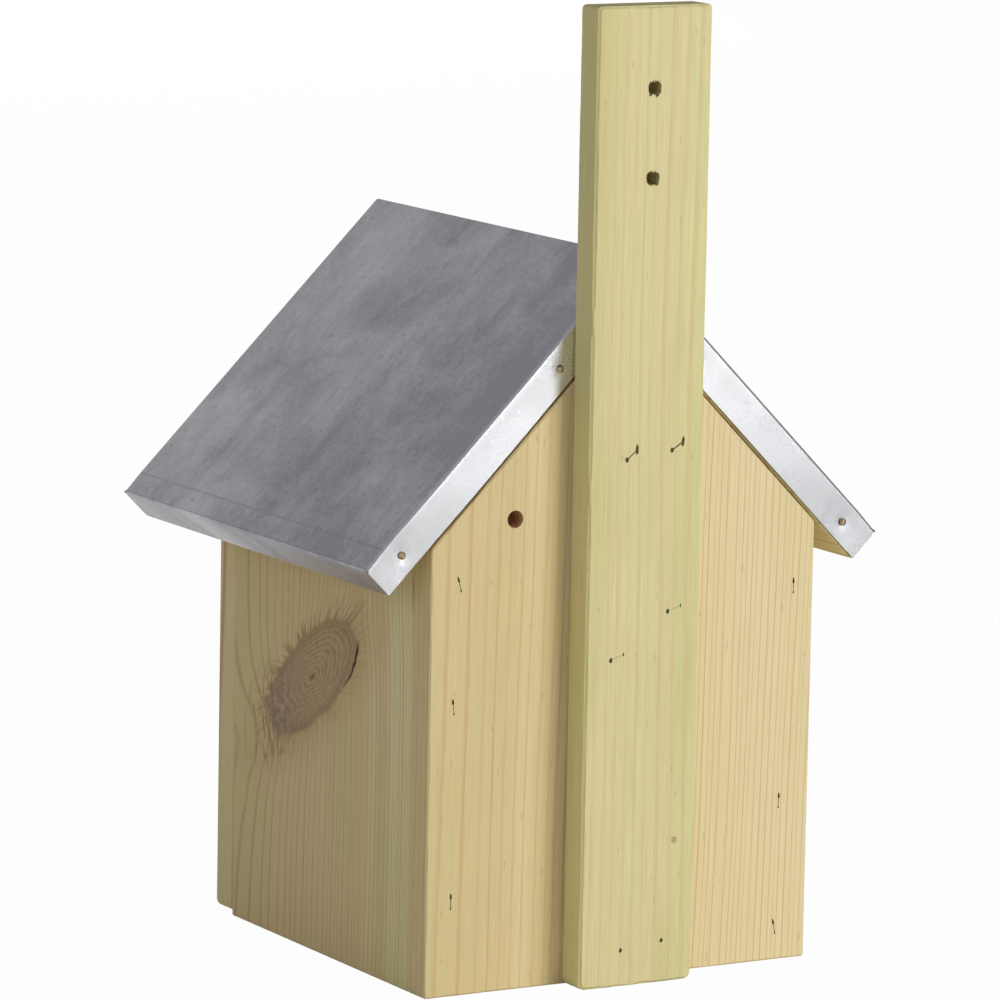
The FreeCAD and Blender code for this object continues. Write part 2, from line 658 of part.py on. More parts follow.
# the hinges: leaves on the left wall and on the door's edge, with the pin over the joint between them
LEAF_MIDDLE = f"({LEAF_START} + Sizes.leaf_width / 2)"
screw_heights = [
    f"{height} + {step} * Sizes.hinge_screw_pitch / 2"
    for height in (UPPER_HINGE_Z, LOWER_HINGE_Z)
    for step in (-1, 1)
]
screw_places = {
    side: [(LEAF_FACE, f"{SIDE_FRONT} + {side} * {LEAF_MIDDLE}", z, facing(LEFT)) for z in screw_heights]
    for side in (-1, 1)
}
frame_screws = group("hinge_frame_screws", hinge_screw, screw_places[1])
door_screws = group("hinge_door_screws", hinge_screw, screw_places[-1])
frame_screw_holes = group("hinge_frame_screw_holes", hinge_screw_hole, screw_places[1])
door_screw_holes = group("hinge_door_screw_holes", hinge_screw_hole, screw_places[-1])
hinges = []
for label, height in (("upper_hinge", UPPER_HINGE_Z), ("lower_hinge", LOWER_HINGE_Z)):
    hinges.append(hinge_leaf(f"{label}_frame_leaf", height, 1, (0, 2), frame_screw_holes))
    hinges.append(hinge_leaf(f"{label}_door_leaf", height, -1, (1,), door_screw_holes))
    pin = doc.addObject("Part::Cylinder", f"{label}_pin")
    bind(pin, Radius="Sizes.pin_diameter / 2", Height="Sizes.hinge_height")
    bind(pin, Placement_Base_x=HINGE_X, Placement_Base_y=SIDE_FRONT)
    bind(pin, Placement_Base_z=f"{height} - Sizes.hinge_height / 2")
    hinges.append(pin)
front_door = cut("front_door", door_board, [door_screw_holes])
left_side_cuts = [back_slots, gable_slots, roof_slots, floor_slots, frame_screw_holes]
left_side_panel = cut("left_side_panel", side_boards["left"], left_side_cuts)

# the turn button, lying level above the door: a quarter turn brings it down over the door's edge
button_block = new_body("button_block", x=BUTTON_X, y=f"{FRONT_FACE} - Sizes.button_clearance", z=BUTTON_Z)
button_outline = rectangle(
    "-Sizes.button_length / 2", "-Sizes.button_width / 2", "Sizes.button_length / 2", "Sizes.button_width / 2"
)
BUTTON_BORE = "Sizes.button_screw_diameter + 2 * Sizes.fastener_clearance"
button_pad = pad(button_block, "Sizes.button_thickness", [button_outline], [(("0", "0"), BUTTON_BORE)])


def is_button_corner(edge):
    return is_straight(edge) and abs(edge.tangentAt(edge.FirstParameter).dot(BACK)) > 1 - SAME_PLACE


round_edges(button_block, button_pad, "Sizes.button_round", is_button_corner)
turn_button = doc.addObject("Part::Compound", "turn_button")
turn_button.Links = [button_block]
turn_button_screw = group("turn_button_screw", button_screw, [button_place])

doc.recompute()

NODES = [
    back_panel, right_side_panel, left_side_panel, floor_panel, front_gable, front_door,
    right_roof_board, left_roof_board, roof_sheet, hanging_batten,
    back_staples, batten_staples, floor_staples, gable_staples, roof_staples, ridge_staples,
    rear_nails, front_nails, *hinges, frame_screws, door_screws, turn_button, turn_button_screw,
]
for item in doc.Objects:
    if "Invalid" in item.State or "Error" in item.State:
        raise SystemExit(f"{item.Label} failed: {item.State}")
for node in NODES:
    if node.Shape.isNull() or not node.Shape.isValid() or not node.Shape.Solids:
        raise SystemExit(f"{node.Label} has no valid solid")
os.makedirs("parts", exist_ok=True)
for node in NODES:
    node.Shape.exportStep(f"parts/{node.Label}.step")
    print(f"{node.Label}: {len(node.Shape.Solids)} solids, {node.Shape.Volume:.1f} mm3")
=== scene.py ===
"""A wooden bird nest box with a folded galvanised roof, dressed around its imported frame."""
import json
import math

import bpy
from mathutils import Matrix, Vector, noise

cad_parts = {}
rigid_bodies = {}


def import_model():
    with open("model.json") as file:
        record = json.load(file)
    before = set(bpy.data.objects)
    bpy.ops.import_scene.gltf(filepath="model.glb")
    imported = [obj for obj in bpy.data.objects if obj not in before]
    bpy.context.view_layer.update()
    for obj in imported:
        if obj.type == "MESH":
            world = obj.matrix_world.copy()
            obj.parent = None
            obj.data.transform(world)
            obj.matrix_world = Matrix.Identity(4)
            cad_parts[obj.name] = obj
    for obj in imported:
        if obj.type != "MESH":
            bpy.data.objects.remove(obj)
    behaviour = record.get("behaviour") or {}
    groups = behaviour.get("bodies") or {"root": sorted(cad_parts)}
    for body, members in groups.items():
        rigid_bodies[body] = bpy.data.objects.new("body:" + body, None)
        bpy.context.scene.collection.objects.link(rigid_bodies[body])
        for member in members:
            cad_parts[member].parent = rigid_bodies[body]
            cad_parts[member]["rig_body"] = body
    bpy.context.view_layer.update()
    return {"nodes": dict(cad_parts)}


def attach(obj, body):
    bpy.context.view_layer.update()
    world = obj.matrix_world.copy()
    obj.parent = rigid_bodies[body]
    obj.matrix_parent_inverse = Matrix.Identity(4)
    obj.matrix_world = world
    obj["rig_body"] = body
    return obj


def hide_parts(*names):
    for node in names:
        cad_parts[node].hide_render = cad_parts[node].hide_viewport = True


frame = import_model()

# Side walls: two planed pine boards, 18 mm thick, whose upper edges are sawn to the roof's slope.
# They stand between the front and the back, which are stapled to their edges. The right one was
# sawn across a branch, so that a long brown knot with a cracked rim lies in its face.
MM = 0.001
HALF_WIDTH, INNER_HALF = 75, 57
SIDE_BACK, SIDE_FRONT = 71.5, -56.5
SHOULDER, INNER_SHOULDER = 153.5, 171.5
EASED, WORN = 0.5, 0.2
SHARP = 20


def block(name, low, high):
    """A board as a block between two corners, in millimetres."""
    middle = [(a + b) / 2 * MM for a, b in zip(low, high)]
    bpy.ops.mesh.primitive_cube_add(size=1, location=middle)
    piece = bpy.context.object
    piece.scale = [(b - a) * MM for a, b in zip(low, high)]
    bpy.ops.object.transform_apply()
    piece.name = piece.data.name = name
    return piece


def only(piece):
    """Selects one piece alone."""
    bpy.ops.object.select_all(action="DESELECT")
    piece.select_set(True)
    bpy.context.view_layer.objects.active = piece


def done():
    """Leaves edit mode."""
    bpy.ops.object.mode_set(mode="OBJECT")


def pick(piece, wanted, kind="VERT"):
    """Goes into edit mode with just the corners, or the edges, that a test picks."""
    only(piece)
    bpy.ops.object.mode_set(mode="EDIT")
    bpy.ops.mesh.select_mode(type=kind)
    bpy.ops.mesh.select_all(action="DESELECT")
    done()
    corners = [v.co / MM for v in piece.data.vertices]
    if kind == "VERT":
        for vertex, corner in zip(piece.data.vertices, corners):
            vertex.select = wanted(corner)
    if kind == "EDGE":
        for edge in piece.data.edges:
            edge.select = wanted(*[corners[i] for i in edge.vertices])
    bpy.ops.object.mode_set(mode="EDIT")


def shift(piece, wanted, by):
    """Moves the corners that a test picks."""
    pick(piece, wanted)
    bpy.ops.transform.translate(value=[v * MM for v in by])
    done()


def rule(piece, along, cuts):
    """Divides a board's long edges evenly along X, Y or Z: a sloping edge counts as one along X."""

    def runs_along(a, b):
        lengths = [abs(v) for v in b - a]
        return max(lengths) > 3 and next(i for i in (0, 1, 2) if lengths[i] > 0.001) == along

    pick(piece, runs_along, "EDGE")
    bpy.ops.mesh.subdivide(number_cuts=cuts)
    done()


def round_sharp(piece, angle, width, segments):
    """Rounds every edge that is sharper than an angle, and leaves the new faces selected."""
    pick(piece, lambda a, b: False, "EDGE")
    bpy.ops.mesh.edges_select_sharp(sharpness=math.radians(angle))
    bpy.ops.mesh.bevel(offset=width * MM, segments=segments, affect="EDGES")
    done()


def ease(piece, width, duller_to_back, segments=2):
    """Breaks a board's sharp edges, unevenly, as planing and handling leave them."""
    round_sharp(piece, SHARP, width, segments)
    flat = {}
    for face in piece.data.polygons:
        for corner in face.vertices:
            if not face.select:
                flat.setdefault(corner, []).append(face.normal.copy())
    worn = {corner for face in piece.data.polygons if face.select for corner in face.vertices}
    for corner in worn:
        vertex = piece.data.vertices[corner]
        at = vertex.co / MM
        # the wear comes and goes over about 3 mm, and more slowly over 11 mm
        depth = 1 + noise.noise(at * 0.31) + 0.6 * noise.noise(at * 0.09)
        move = -vertex.normal * max(0, depth) * duller_to_back * MM
        for normal in flat.get(corner, []):
            move -= normal * move.dot(normal)
        vertex.co += move


def place(piece, slot, *nodes, angle=40):
    """Shades eased edges smooth, hides the CAD nodes that a piece stands for, and makes it ride
    with their body.
    """
    only(piece)
    bpy.ops.object.shade_smooth_by_angle(angle=math.radians(angle))
    weigh = piece.modifiers.new("flat faces", "WEIGHTED_NORMAL")
    weigh.keep_sharp = True
    bpy.ops.object.modifier_apply(modifier=weigh.name)
    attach(piece, frame["nodes"][nodes[0]]["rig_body"])
    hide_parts(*nodes)


def linear(code):
    """A colour written as sRGB hex, in the linear values that a shader takes."""
    parts = [int(code[i:i + 2], 16) / 255 for i in (0, 2, 4)]
    return [p / 12.92 if p <= 0.04045 else ((p + 0.055) / 1.055) ** 2.4 for p in parts] + [1]


def add(tree, kind, links=None, **settings):
    """Adds one shader node: its settings by name, its inputs set or linked by name or number.

    A node as a source stands for its first output in use, and a text is a colour in sRGB hex.
    """
    item = tree.nodes.new("ShaderNode" + kind)
    for key, setting in settings.items():
        setattr(item, key, setting)
    for socket, source in (links or {}).items():
        if isinstance(source, str):
            source = linear(source)
        if isinstance(source, bpy.types.Node):
            source = next(output for output in source.outputs if output.enabled)
        if isinstance(source, bpy.types.NodeSocket):
            tree.links.new(source, item.inputs[socket])
        else:
            item.inputs[socket].default_value = source
    return item


def new_material(name, constants):
    """A material with constants on its shader's sockets, its node tree and its shader."""
    material = bpy.data.materials.new(name)
    material.use_nodes = True
    shader = material.node_tree.nodes["Principled BSDF"]
    for socket, constant in constants.items():
        shader.inputs[socket].default_value = constant
    return material, material.node_tree, shader


def connect(tree, shader, colour, gloss, relief=None):
    """Links a surface's colour, roughness and relief to its shader."""
    tree.links.new(colour.outputs[2], shader.inputs["Base Color"])
    tree.links.new(gloss.outputs[0], shader.inputs["Roughness"])
    if relief:
        tree.links.new(relief.outputs[0], shader.inputs["Normal"])


UPRIGHT = (0, 0, 0)
SMOOTH = {"interpolation_type": "SMOOTHSTEP"}
RGBA = {"data_type": "RGBA"}
MULTIPLY = {"operation": "MULTIPLY"}


def pine(name, pith, spacing, early, late, sap, heart, grain=UPRIGHT, branch=None, green=0.25,
         end="8f8052", edges=None, crisp=0.68, fibre=0.07):
    """Planed pine from a log whose pith, ring width 100 mm out and heart radius are in millimetres.

    To the eye it is pale between thin, soft, reddish lines a year's growth apart, paler again in
    the sapwood, and greenish where the impregnation soaked in. All places are in the turned frame
    whose Z runs along the grain. A branch is a point on its axis, its direction, its radius and
    the way that the board's face looks.
    """
    material, tree, shader = new_material(name, {"Specular IOR Level": 0.3})
    spot = add(tree, "TexCoord")
    turned = add(tree, "Mapping", {
        "Vector": spot.outputs["Object"], "Rotation": grain, "Scale": (1 / MM, 1 / MM, 1 / MM),
    })
    log = add(tree, "VectorMath", {0: turned, 1: pith}, operation="SUBTRACT")

    # the rings drift about 2 mm to each side on their way up
    slow = add(tree, "VectorMath", {0: log, 1: (1 / 70, 1 / 70, 1 / 240)}, **MULTIPLY)
    drift = add(tree, "TexNoise", {"Vector": slow, "Scale": 1, "Detail": 1})
    bent = add(tree, "VectorMath", {
        0: drift.outputs["Color"], 1: (5, 5, 0), 2: log,
    }, operation="MULTIPLY_ADD")

    # a branch pushes the rings aside
    if branch:
        root, direction, radius, face = branch
        direction, face = Vector(direction).normalized(), Vector(face)
        squareness = abs(direction.dot(face))
        rise = direction - face * direction.dot(face)
        rise = rise.normalized() if rise.length > 0.01 else Vector((0, 0, 1))
        root = Vector(root) - Vector(pith)
        out = add(tree, "VectorMath", {0: log, 1: root}, operation="SUBTRACT")
        arm = add(tree, "VectorMath", {0: out, 1: direction}, operation="CROSS_PRODUCT")
        reach = add(tree, "VectorMath", {0: arm}, operation="LENGTH")
        wobble = add(tree, "TexNoise", {"Vector": out, "Scale": 1.1 / radius, "Detail": 2})
        wobble = add(tree, "MapRange", {0: wobble, 1: 0.2, 2: 0.8, 3: -0.07, 4: 0.07})
        share = add(tree, "Math", {0: reach, 1: 1 / radius, 2: wobble}, operation="MULTIPLY_ADD")
        lengthwise, sideways = rise * squareness / radius, face.cross(rise) / radius
        along = add(tree, "VectorMath", {0: out, 1: lengthwise}, operation="DOT_PRODUCT")
        beside = add(tree, "VectorMath", {0: out, 1: sideways}, operation="DOT_PRODUCT")
        far = add(tree, "Math", {0: 1.0, 1: share}, operation="DIVIDE", use_clamp=True)
        push = add(tree, "Math", {0: far, 1: 2.0}, operation="POWER")
        push = add(tree, "Math", {0: push, 1: -0.5}, **MULTIPLY)
        length = add(tree, "VectorMath", {0: out, 1: direction}, operation="DOT_PRODUCT")
        inward = add(tree, "VectorMath", {0: direction, "Scale": length}, operation="SCALE")
        inward = add(tree, "VectorMath", {0: out, 1: inward}, operation="SUBTRACT")
        inward = add(tree, "VectorMath", {0: inward, "Scale": push}, operation="SCALE")
        bent = add(tree, "VectorMath", {0: bent, 1: inward}, operation="ADD")

    # the rings: each year's pale wood darkens slowly, and ends sharply
    flat = add(tree, "VectorMath", {0: bent, 1: (1, 1, 0)}, **MULTIPLY)
    radius_here = add(tree, "VectorMath", {0: flat}, operation="LENGTH")
    years = add(tree, "Math", {0: radius_here, 1: 1.5}, operation="POWER")
    years = add(tree, "Math", {0: years, 1: 1 / (15 * spacing)}, **MULTIPLY)
    lean = add(tree, "TexNoise", {"W": years, "Scale": 0.3, "Detail": 1}, noise_dimensions="1D")
    years = add(tree, "Math", {0: lean, 1: 1.2, 2: years}, operation="MULTIPLY_ADD")
    ring = add(tree, "Math", {0: years}, operation="FLOOR")
    part = add(tree, "Math", {0: years}, operation="FRACT")
    strength = add(tree, "TexWhiteNoise", {"W": ring}, noise_dimensions="1D")
    strength = add(tree, "MapRange", {0: strength, 3: 0.45, 4: 1.0})
    growth = add(tree, "MapRange", {0: part, 1: crisp, 2: 0.9}, **SMOOTH)
    winter = add(tree, "MapRange", {0: part, 1: 0.88, 2: 1.0, 3: 1.0, 4: 0.0}, **SMOOTH)
    line = add(tree, "Math", {0: growth, 1: winter}, **MULTIPLY)
    line = add(tree, "Math", {0: line, 1: strength}, **MULTIPLY)

    # sapwood outside the heart, in bands a few years wide
    band = add(tree, "TexNoise", {
        "W": radius_here, "Scale": 0.07, "Detail": 1,
    }, noise_dimensions="1D")
    band = add(tree, "MapRange", {0: band, 1: 0.3, 2: 0.7, 3: -24, 4: 24})
    band = add(tree, "Math", {0: radius_here, 1: band}, operation="ADD")
    band = add(tree, "MapRange", {0: band, 1: heart - 18, 2: heart + 18}, **SMOOTH)
    colour = add(tree, "Mix", {0: band, 6: early, 7: sap}, **RGBA)
    soak = add(tree, "VectorMath", {0: log, 1: (1 / 30, 1 / 30, 1 / 130)}, **MULTIPLY)
    soak = add(tree, "TexNoise", {"Vector": soak, "Scale": 1, "Detail": 2})
    soak = add(tree, "MapRange", {0: soak, 1: 0.45, 2: 0.7, 4: green})
    colour = add(tree, "Mix", {0: soak, 6: colour, 7: "c3bd7e"}, **RGBA)
    colour = add(tree, "Mix", {0: line, 6: colour, 7: late}, **RGBA)

    if edges:
        axis = add(tree, "SeparateXYZ", {0: spot.outputs["Normal"]})
        narrow = add(tree, "Math", {0: axis.outputs["X"]}, operation="ABSOLUTE")
        narrow = add(tree, "MapRange", {0: narrow, 1: 0.2, 2: 0.8, 4: 0.75})
        colour = add(tree, "Mix", {0: narrow, 6: colour, 7: edges}, **RGBA)

    # fibres 0.5 mm wide and 30 mm long, coarser than real so that they show, and short resin flecks
    thread = add(tree, "VectorMath", {0: log, 1: (1 / 0.5, 1 / 0.5, 1 / 30)}, **MULTIPLY)
    thread = add(tree, "TexNoise", {"Vector": thread, "Scale": 1, "Detail": 3})
    shade = add(tree, "MapRange", {0: thread, 1: 0.25, 2: 0.75, 3: 1 - fibre, 4: 1 + fibre})
    colour = add(tree, "Mix", {0: 1.0, 6: colour, 7: shade}, **RGBA, blend_type="MULTIPLY")
    fleck = add(tree, "VectorMath", {0: log, 1: (1 / 3.5, 1 / 3.5, 1 / 17)}, **MULTIPLY)
    fleck = add(tree, "TexVoronoi", {"Vector": fleck, "Scale": 1})
    fleck = add(tree, "MapRange", {0: fleck, 1: 0.05, 2: 0.12, 3: 0.25, 4: 0.0})
    colour = add(tree, "Mix", {0: fleck, 6: colour, 7: "7d6a40"}, **RGBA)
    height = add(tree, "Math", {0: line, 1: 0.5, 2: thread}, operation="MULTIPLY_ADD")

    if branch:
        # the wood beside the branch is redder on the side that it leans to
        halo = add(tree, "MapRange", {0: share, 1: 0.9, 2: 2.0, 3: 0.4, 4: 0.0}, **SMOOTH)
        redder = add(tree, "MapRange", {0: beside, 1: 0.6, 2: -0.8, 3: 0.2, 4: 1.0})
        halo = add(tree, "Math", {0: halo, 1: redder}, **MULTIPLY)
        colour = add(tree, "Mix", {0: halo, 6: colour, 7: "bd9468"}, **RGBA)
        # fibres that end on the branch leave short dark lashes above it, and long streaks below it
        angle = add(tree, "Math", {0: beside, 1: along}, operation="ARCTAN2")
        lash = add(tree, "CombineXYZ", {0: angle, 1: share})
        lash = add(tree, "VectorMath", {0: lash, 1: (30, 1.3, 0)}, **MULTIPLY)
        lash = add(tree, "TexNoise", {"Vector": lash, "Scale": 1, "Detail": 1})
        lash = add(tree, "MapRange", {0: lash, 1: 0.45, 2: 0.62})
        near = add(tree, "MapRange", {0: share, 1: 0.98, 2: 1.36, 3: 0.65, 4: 0.0})
        above = add(tree, "MapRange", {0: beside, 1: -0.9, 2: 0.5, 3: 0.35, 4: 1.0})
        near = add(tree, "Math", {0: near, 1: above}, **MULTIPLY)
        lash = add(tree, "Math", {0: lash, 1: near}, **MULTIPLY)
        streak = add(tree, "VectorMath", {0: bent, 1: (1 / 1.3, 1 / 1.3, 1 / 26)}, **MULTIPLY)
        streak = add(tree, "TexNoise", {"Vector": streak, "Scale": 1, "Detail": 1})
        streak = add(tree, "MapRange", {0: streak, 1: 0.52, 2: 0.6})
        near = add(tree, "MapRange", {0: share, 1: 1.0, 2: 1.6, 3: 0.75, 4: 0.0})
        below = add(tree, "MapRange", {0: along, 1: -0.45, 2: -0.9})
        near = add(tree, "Math", {0: near, 1: below}, **MULTIPLY)
        streak = add(tree, "Math", {0: streak, 1: near}, **MULTIPLY)
        lash = add(tree, "Math", {0: lash, 1: streak}, operation="MAXIMUM")
        colour = add(tree, "Mix", {0: lash, 6: colour, 7: "755c38"}, **RGBA)
        # the branch's own wood: brown rings 1.4 mm wide about a dark heart, torn and blotched at
        # its lower end
        turns = add(tree, "Math", {0: share, 1: radius / 1.4}, **MULTIPLY)
        turns = add(tree, "Math", {0: turns}, operation="FRACT")
        turns = add(tree, "MapRange", {0: turns, 1: 0.1, 2: 0.9}, **SMOOTH)
        blotch = add(tree, "TexNoise", {"Vector": out, "Scale": 0.4, "Detail": 3})
        faded = add(tree, "MapRange", {0: blotch, 1: 0.35, 2: 0.65, 3: 0.25, 4: 1.0})
        turns = add(tree, "Math", {0: turns, 1: faded}, **MULTIPLY)
        core = add(tree, "Mix", {0: turns, 6: "b99e78", 7: "9c7e5d"}, **RGBA)
        middle = add(tree, "MapRange", {0: share, 1: 0.02, 2: 0.06, 3: 0.75, 4: 0.0})
        core = add(tree, "Mix", {0: middle, 6: core, 7: "5f4a30"}, **RGBA)
        blotch = add(tree, "MapRange", {0: blotch, 1: 0.38, 2: 0.62})
        blotch = add(tree, "Mix", {0: blotch, 6: "937a60", 7: "b59b80"}, **RGBA)
        torn = add(tree, "MapRange", {0: along, 1: 0.0, 2: -0.6, 4: 0.85}, **SMOOTH)
        core = add(tree, "Mix", {0: torn, 6: core, 7: blotch}, **RGBA)
        inside = add(tree, "MapRange", {0: share, 1: 0.86, 2: 1.04, 3: 1.0, 4: 0.0}, **SMOOTH)
        colour = add(tree, "Mix", {0: inside, 6: colour, 7: core}, **RGBA)
        rim = add(tree, "MapRange", {0: share, 1: 0.7, 2: 0.97, 3: 0.0, 4: 0.35})
        rim = add(tree, "Math", {0: rim, 1: inside}, **MULTIPLY)
        colour = add(tree, "Mix", {0: rim, 6: colour, 7: "6b5338"}, **RGBA)
        # it shrank, and cracked loose along one side of its rim
        crack = add(tree, "MapRange", {0: share, 1: 0.93, 2: 0.965}, **SMOOTH)
        limits = ((share, 1.01, 0.975), (along, 0.35, 0.75), (beside, -0.1, -0.4))
        for measure, none, full in limits:
            limit = add(tree, "MapRange", {0: measure, 1: none, 2: full}, **SMOOTH)
            crack = add(tree, "Math", {0: crack, 1: limit}, **MULTIPLY)
        colour = add(tree, "Mix", {0: crack, 6: colour, 7: "35271a"}, **RGBA)
        height = add(tree, "Math", {0: crack, 1: -3.0, 2: height}, operation="MULTIPLY_ADD")

    # end grain drinks the impregnation, so that sawn ends are darker
    turned_normal = add(tree, "Mapping", {"Vector": spot.outputs["Normal"], "Rotation": grain})
    axis = add(tree, "SeparateXYZ", {0: turned_normal})
    ends = add(tree, "Math", {0: axis.outputs["Z"]}, operation="ABSOLUTE")
    ends = add(tree, "MapRange", {0: ends, 1: 0.6, 2: 1.0, 4: 0.75}, **SMOOTH)
    colour = add(tree, "Mix", {0: ends, 6: colour, 7: end}, **RGBA)
    gloss = add(tree, "MapRange", {0: thread, 1: 0.2, 2: 0.8, 3: 0.62, 4: 0.8})
    relief = add(tree, "Bump", {"Strength": 0.4, "Distance": 0.2 * MM, "Height": height})
    connect(tree, shader, colour, gloss, relief)
    return material


for label, side in (("right", 1), ("left", -1)):
    edges = sorted((side * INNER_HALF, side * HALF_WIDTH))
    wall = block(f"{label}_wall", (edges[0], SIDE_FRONT, 0), (edges[1], SIDE_BACK, INNER_SHOULDER))
    shift(
        wall, lambda p: abs(p.x - side * HALF_WIDTH) < 1 and p.z > SHOULDER,
        (0, 0, SHOULDER - INNER_SHOULDER),
    )
    rule(wall, 2, 30)
    rule(wall, 1, 24)
    ease(wall, EASED, WORN)
    if side > 0:
        # the branch's cut is 79 mm long and 29 mm wide, and rises 34 degrees towards the back
        knot = ((HALF_WIDTH, 0.4, 95.1), (0.374, 0.771, 0.515), 14.7, (1, 0, 0))
        wood = pine(
            "pine_right_wall", (-25, -70, 0), 2.4, "d5c090", "be9a70", "dcd2a0", 165,
            branch=knot, green=0.35,
        )
    else:
        knot = ((-HALF_WIDTH, 22, 58), (-1, 0.1, 0.2), 5, (-1, 0, 0))
        wood = pine(
            "pine_left_wall", (-20, -90, 300), 3.1, "d8c595", "c49c72", "ddcba0", 150, branch=knot,
        )
    wall.data.materials.append(wood)
    place(wall, "pine", f"{label}_side_panel")

# Back panel: one pine board, 12 mm thick, with its gable sawn just short of the roof boards. It is
# stapled to the edges of the side walls, and a 6 mm vent hole is drilled through it under the right
# slope.
BACK_FACE = 83.5
GABLE_SHOULDER, GABLE_TOP = 152.5, 227.5
VENT = (43.3, 160.8)


def gable_board(name, low, high, peak):
    """A board with two equal slopes up to a peak."""
    piece = block(name, low, high)
    pick(piece, lambda p: True)
    bpy.ops.mesh.bisect(plane_co=(0, 0, 0), plane_no=(1, 0, 0))
    done()
    shift(piece, lambda p: abs(p.x) < 1 and p.z > high[2] - 1, (0, 0, peak - high[2]))
    return piece


def combine(piece, other, operation, lining=None):
    """Takes another solid out of a piece or joins it on, with a material of its own."""
    step = piece.modifiers.new("combined", "BOOLEAN")
    step.object = other
    step.operation = operation
    step.solver = "EXACT"
    if lining:
        other.data.materials.append(lining)
        step.material_mode = "TRANSFER"
    only(piece)
    bpy.ops.object.modifier_apply(modifier=step.name)
    bpy.data.objects.remove(other)


def carve(piece, cutter, lining=None):
    """Takes a cutter's shape out of a piece, and lines the cut."""
    combine(piece, cutter, "DIFFERENCE", lining)


def opened_wood(name, dark, pale):
    """Wood opened by a drill or a staple: dark and stringy, with no gloss; in staple pits the dark
    is partly painted shade inside the pit, over torn fibres.

    The strings are 0.4 mm wide and 4 mm long.
    """
    material, tree, shader = new_material(name, {"Specular IOR Level": 0.1})
    spot = add(tree, "TexCoord")
    wide, long = 0.4 * MM, 4 * MM
    string = add(tree, "VectorMath", {
        0: spot.outputs["Object"], 1: (1 / wide, 1 / wide, 1 / long),
    }, **MULTIPLY)
    string = add(tree, "TexNoise", {"Vector": string, "Scale": 1, "Detail": 3})
    lit = add(tree, "MapRange", {0: string, 1: 0.35, 2: 0.7})
    colour = add(tree, "Mix", {0: lit, 6: dark, 7: pale}, **RGBA)
    gloss = add(tree, "MapRange", {0: string, 3: 0.85, 4: 1.0})
    relief = add(tree, "Bump", {"Strength": 0.8, "Distance": 0.3 * MM, "Height": string})
    connect(tree, shader, colour, gloss, relief)
    return material


def copies(pattern, frames):
    """Copies of a pattern, each with its own mesh, at the given frames, as one object."""
    made = []
    for matrix in frames:
        copy = pattern.copy()
        copy.data = pattern.data.copy()
        copy.matrix_world = matrix
        bpy.context.scene.collection.objects.link(copy)
        made.append(copy)
    bpy.data.objects.remove(pattern)
    only(made[0])
    for copy in made:
        copy.select_set(True)
    bpy.ops.object.join()
    bpy.ops.object.transform_apply()
    return bpy.context.object


def standing(at, outward, along):
    """A frame at a point in millimetres, with Z outward and X along the given direction."""
    z = Vector(outward).normalized()
    x = Vector(along).normalized()
    turn = Matrix((x, z.cross(x), z)).transposed().to_4x4()
    return Matrix.Translation(Vector(at) * MM) @ turn


TEAR_FLOOR, TEAR_RIM, TEAR_HEIGHT, TEAR_DEPTH = 0.34, 0.66, 2.6, 0.8
CROWN_SLIT = 5.2


def staple_marks(frames, pits, slit_width=0.32, grain=0):
    """The cutter for what a sunk staple leaves: torn pits, and a slit where fibres closed over it.

    A pit is its place along the crown, its length along the grain and its width, and the grain is
    the angle between the fibres and the crown.
    """
    tears = [(*pit, math.radians(grain)) for pit in pits]
    if slit_width:
        tears.append((0, CROWN_SLIT, slit_width, 0))
    parts = []
    for number, (across, long, wide, turn) in enumerate(tears):
        bpy.ops.mesh.primitive_cone_add(
            vertices=20, radius1=TEAR_FLOOR * MM, radius2=TEAR_RIM * MM, depth=TEAR_HEIGHT * MM,
        )
        tear = bpy.context.object
        for vertex in tear.data.vertices:
            x, y, z = vertex.co / MM
            ragged = 1 + 0.6 * noise.noise((5 * x, 5 * y, long + number))
            z += TEAR_HEIGHT / 2 - TEAR_DEPTH
            vertex.co = Vector((x * long * ragged, y * wide * ragged, z)) * MM
        tear.matrix_world = Matrix.Translation((across * MM, 0, 0)) @ Matrix.Rotation(turn, 4, "Z")
        bpy.ops.object.transform_apply()
        parts.append(tear)
    for part in parts[1:]:
        combine(parts[0], part, "UNION")
    return copies(parts[0], frames)


def leaning(y, staples):
    """Frames in a face that looks back, from each staple's X, Z and degrees off upright."""
    frames = []
    for x, z, degrees in staples:
        angle = math.radians(degrees)
        frames.append(standing((x, y, z), (0, 1, 0), (math.sin(angle), 0, math.cos(angle))))
    return frames


THROUGH = 16


def drill(at, along, radius, length=THROUGH, sides=32):
    """A round cutter about a point, in millimetres, long enough for any board."""
    bpy.ops.mesh.primitive_cylinder_add(vertices=sides, radius=radius * MM, depth=length * MM)
    cutter = bpy.context.object
    cutter.matrix_world = standing(at, along, Vector(along).orthogonal())
    bpy.ops.object.transform_apply()
    return cutter


back = gable_board(
    "back_board", (-HALF_WIDTH, SIDE_BACK, 0), (HALF_WIDTH, BACK_FACE, GABLE_SHOULDER), GABLE_TOP,
)
rule(back, 2, 36)
rule(back, 0, 15)
ease(back, EASED, WORN)
back.data.materials.append(pine(
    "pine_back_panel", (105, 13.5, 0), 2.85, "d2be8d", "c8a67c", "dfcda0", 112, grain=(0, 0.022, 0),
))
TORN_PITS = [(1.6, 2.2, 0.9), (-2.4, 1.1, 0.6)]
# painted shade: the staple pits are lined dark, for the shade inside them as well as the torn
# fibres
shaded_torn_pine = opened_wood("shaded_torn_pine", "5c4e2c", "87774a")
vent_hole = drill((VENT[0], (SIDE_BACK + BACK_FACE) / 2, VENT[1]), (0, 1, 0), 3)
carve(back, vent_hole, opened_wood("bored_pine", "ab8058", "dcb68c"))
carve(back, staple_marks(leaning(BACK_FACE, [
    (64.2, 140.3, 15), (65.8, 99, 7), (65.5, 32.7, 1),
    (-67, 130.8, 0), (-63.2, 56, -2), (-62.5, 11.8, 11),
]), TORN_PITS), shaded_torn_pine)
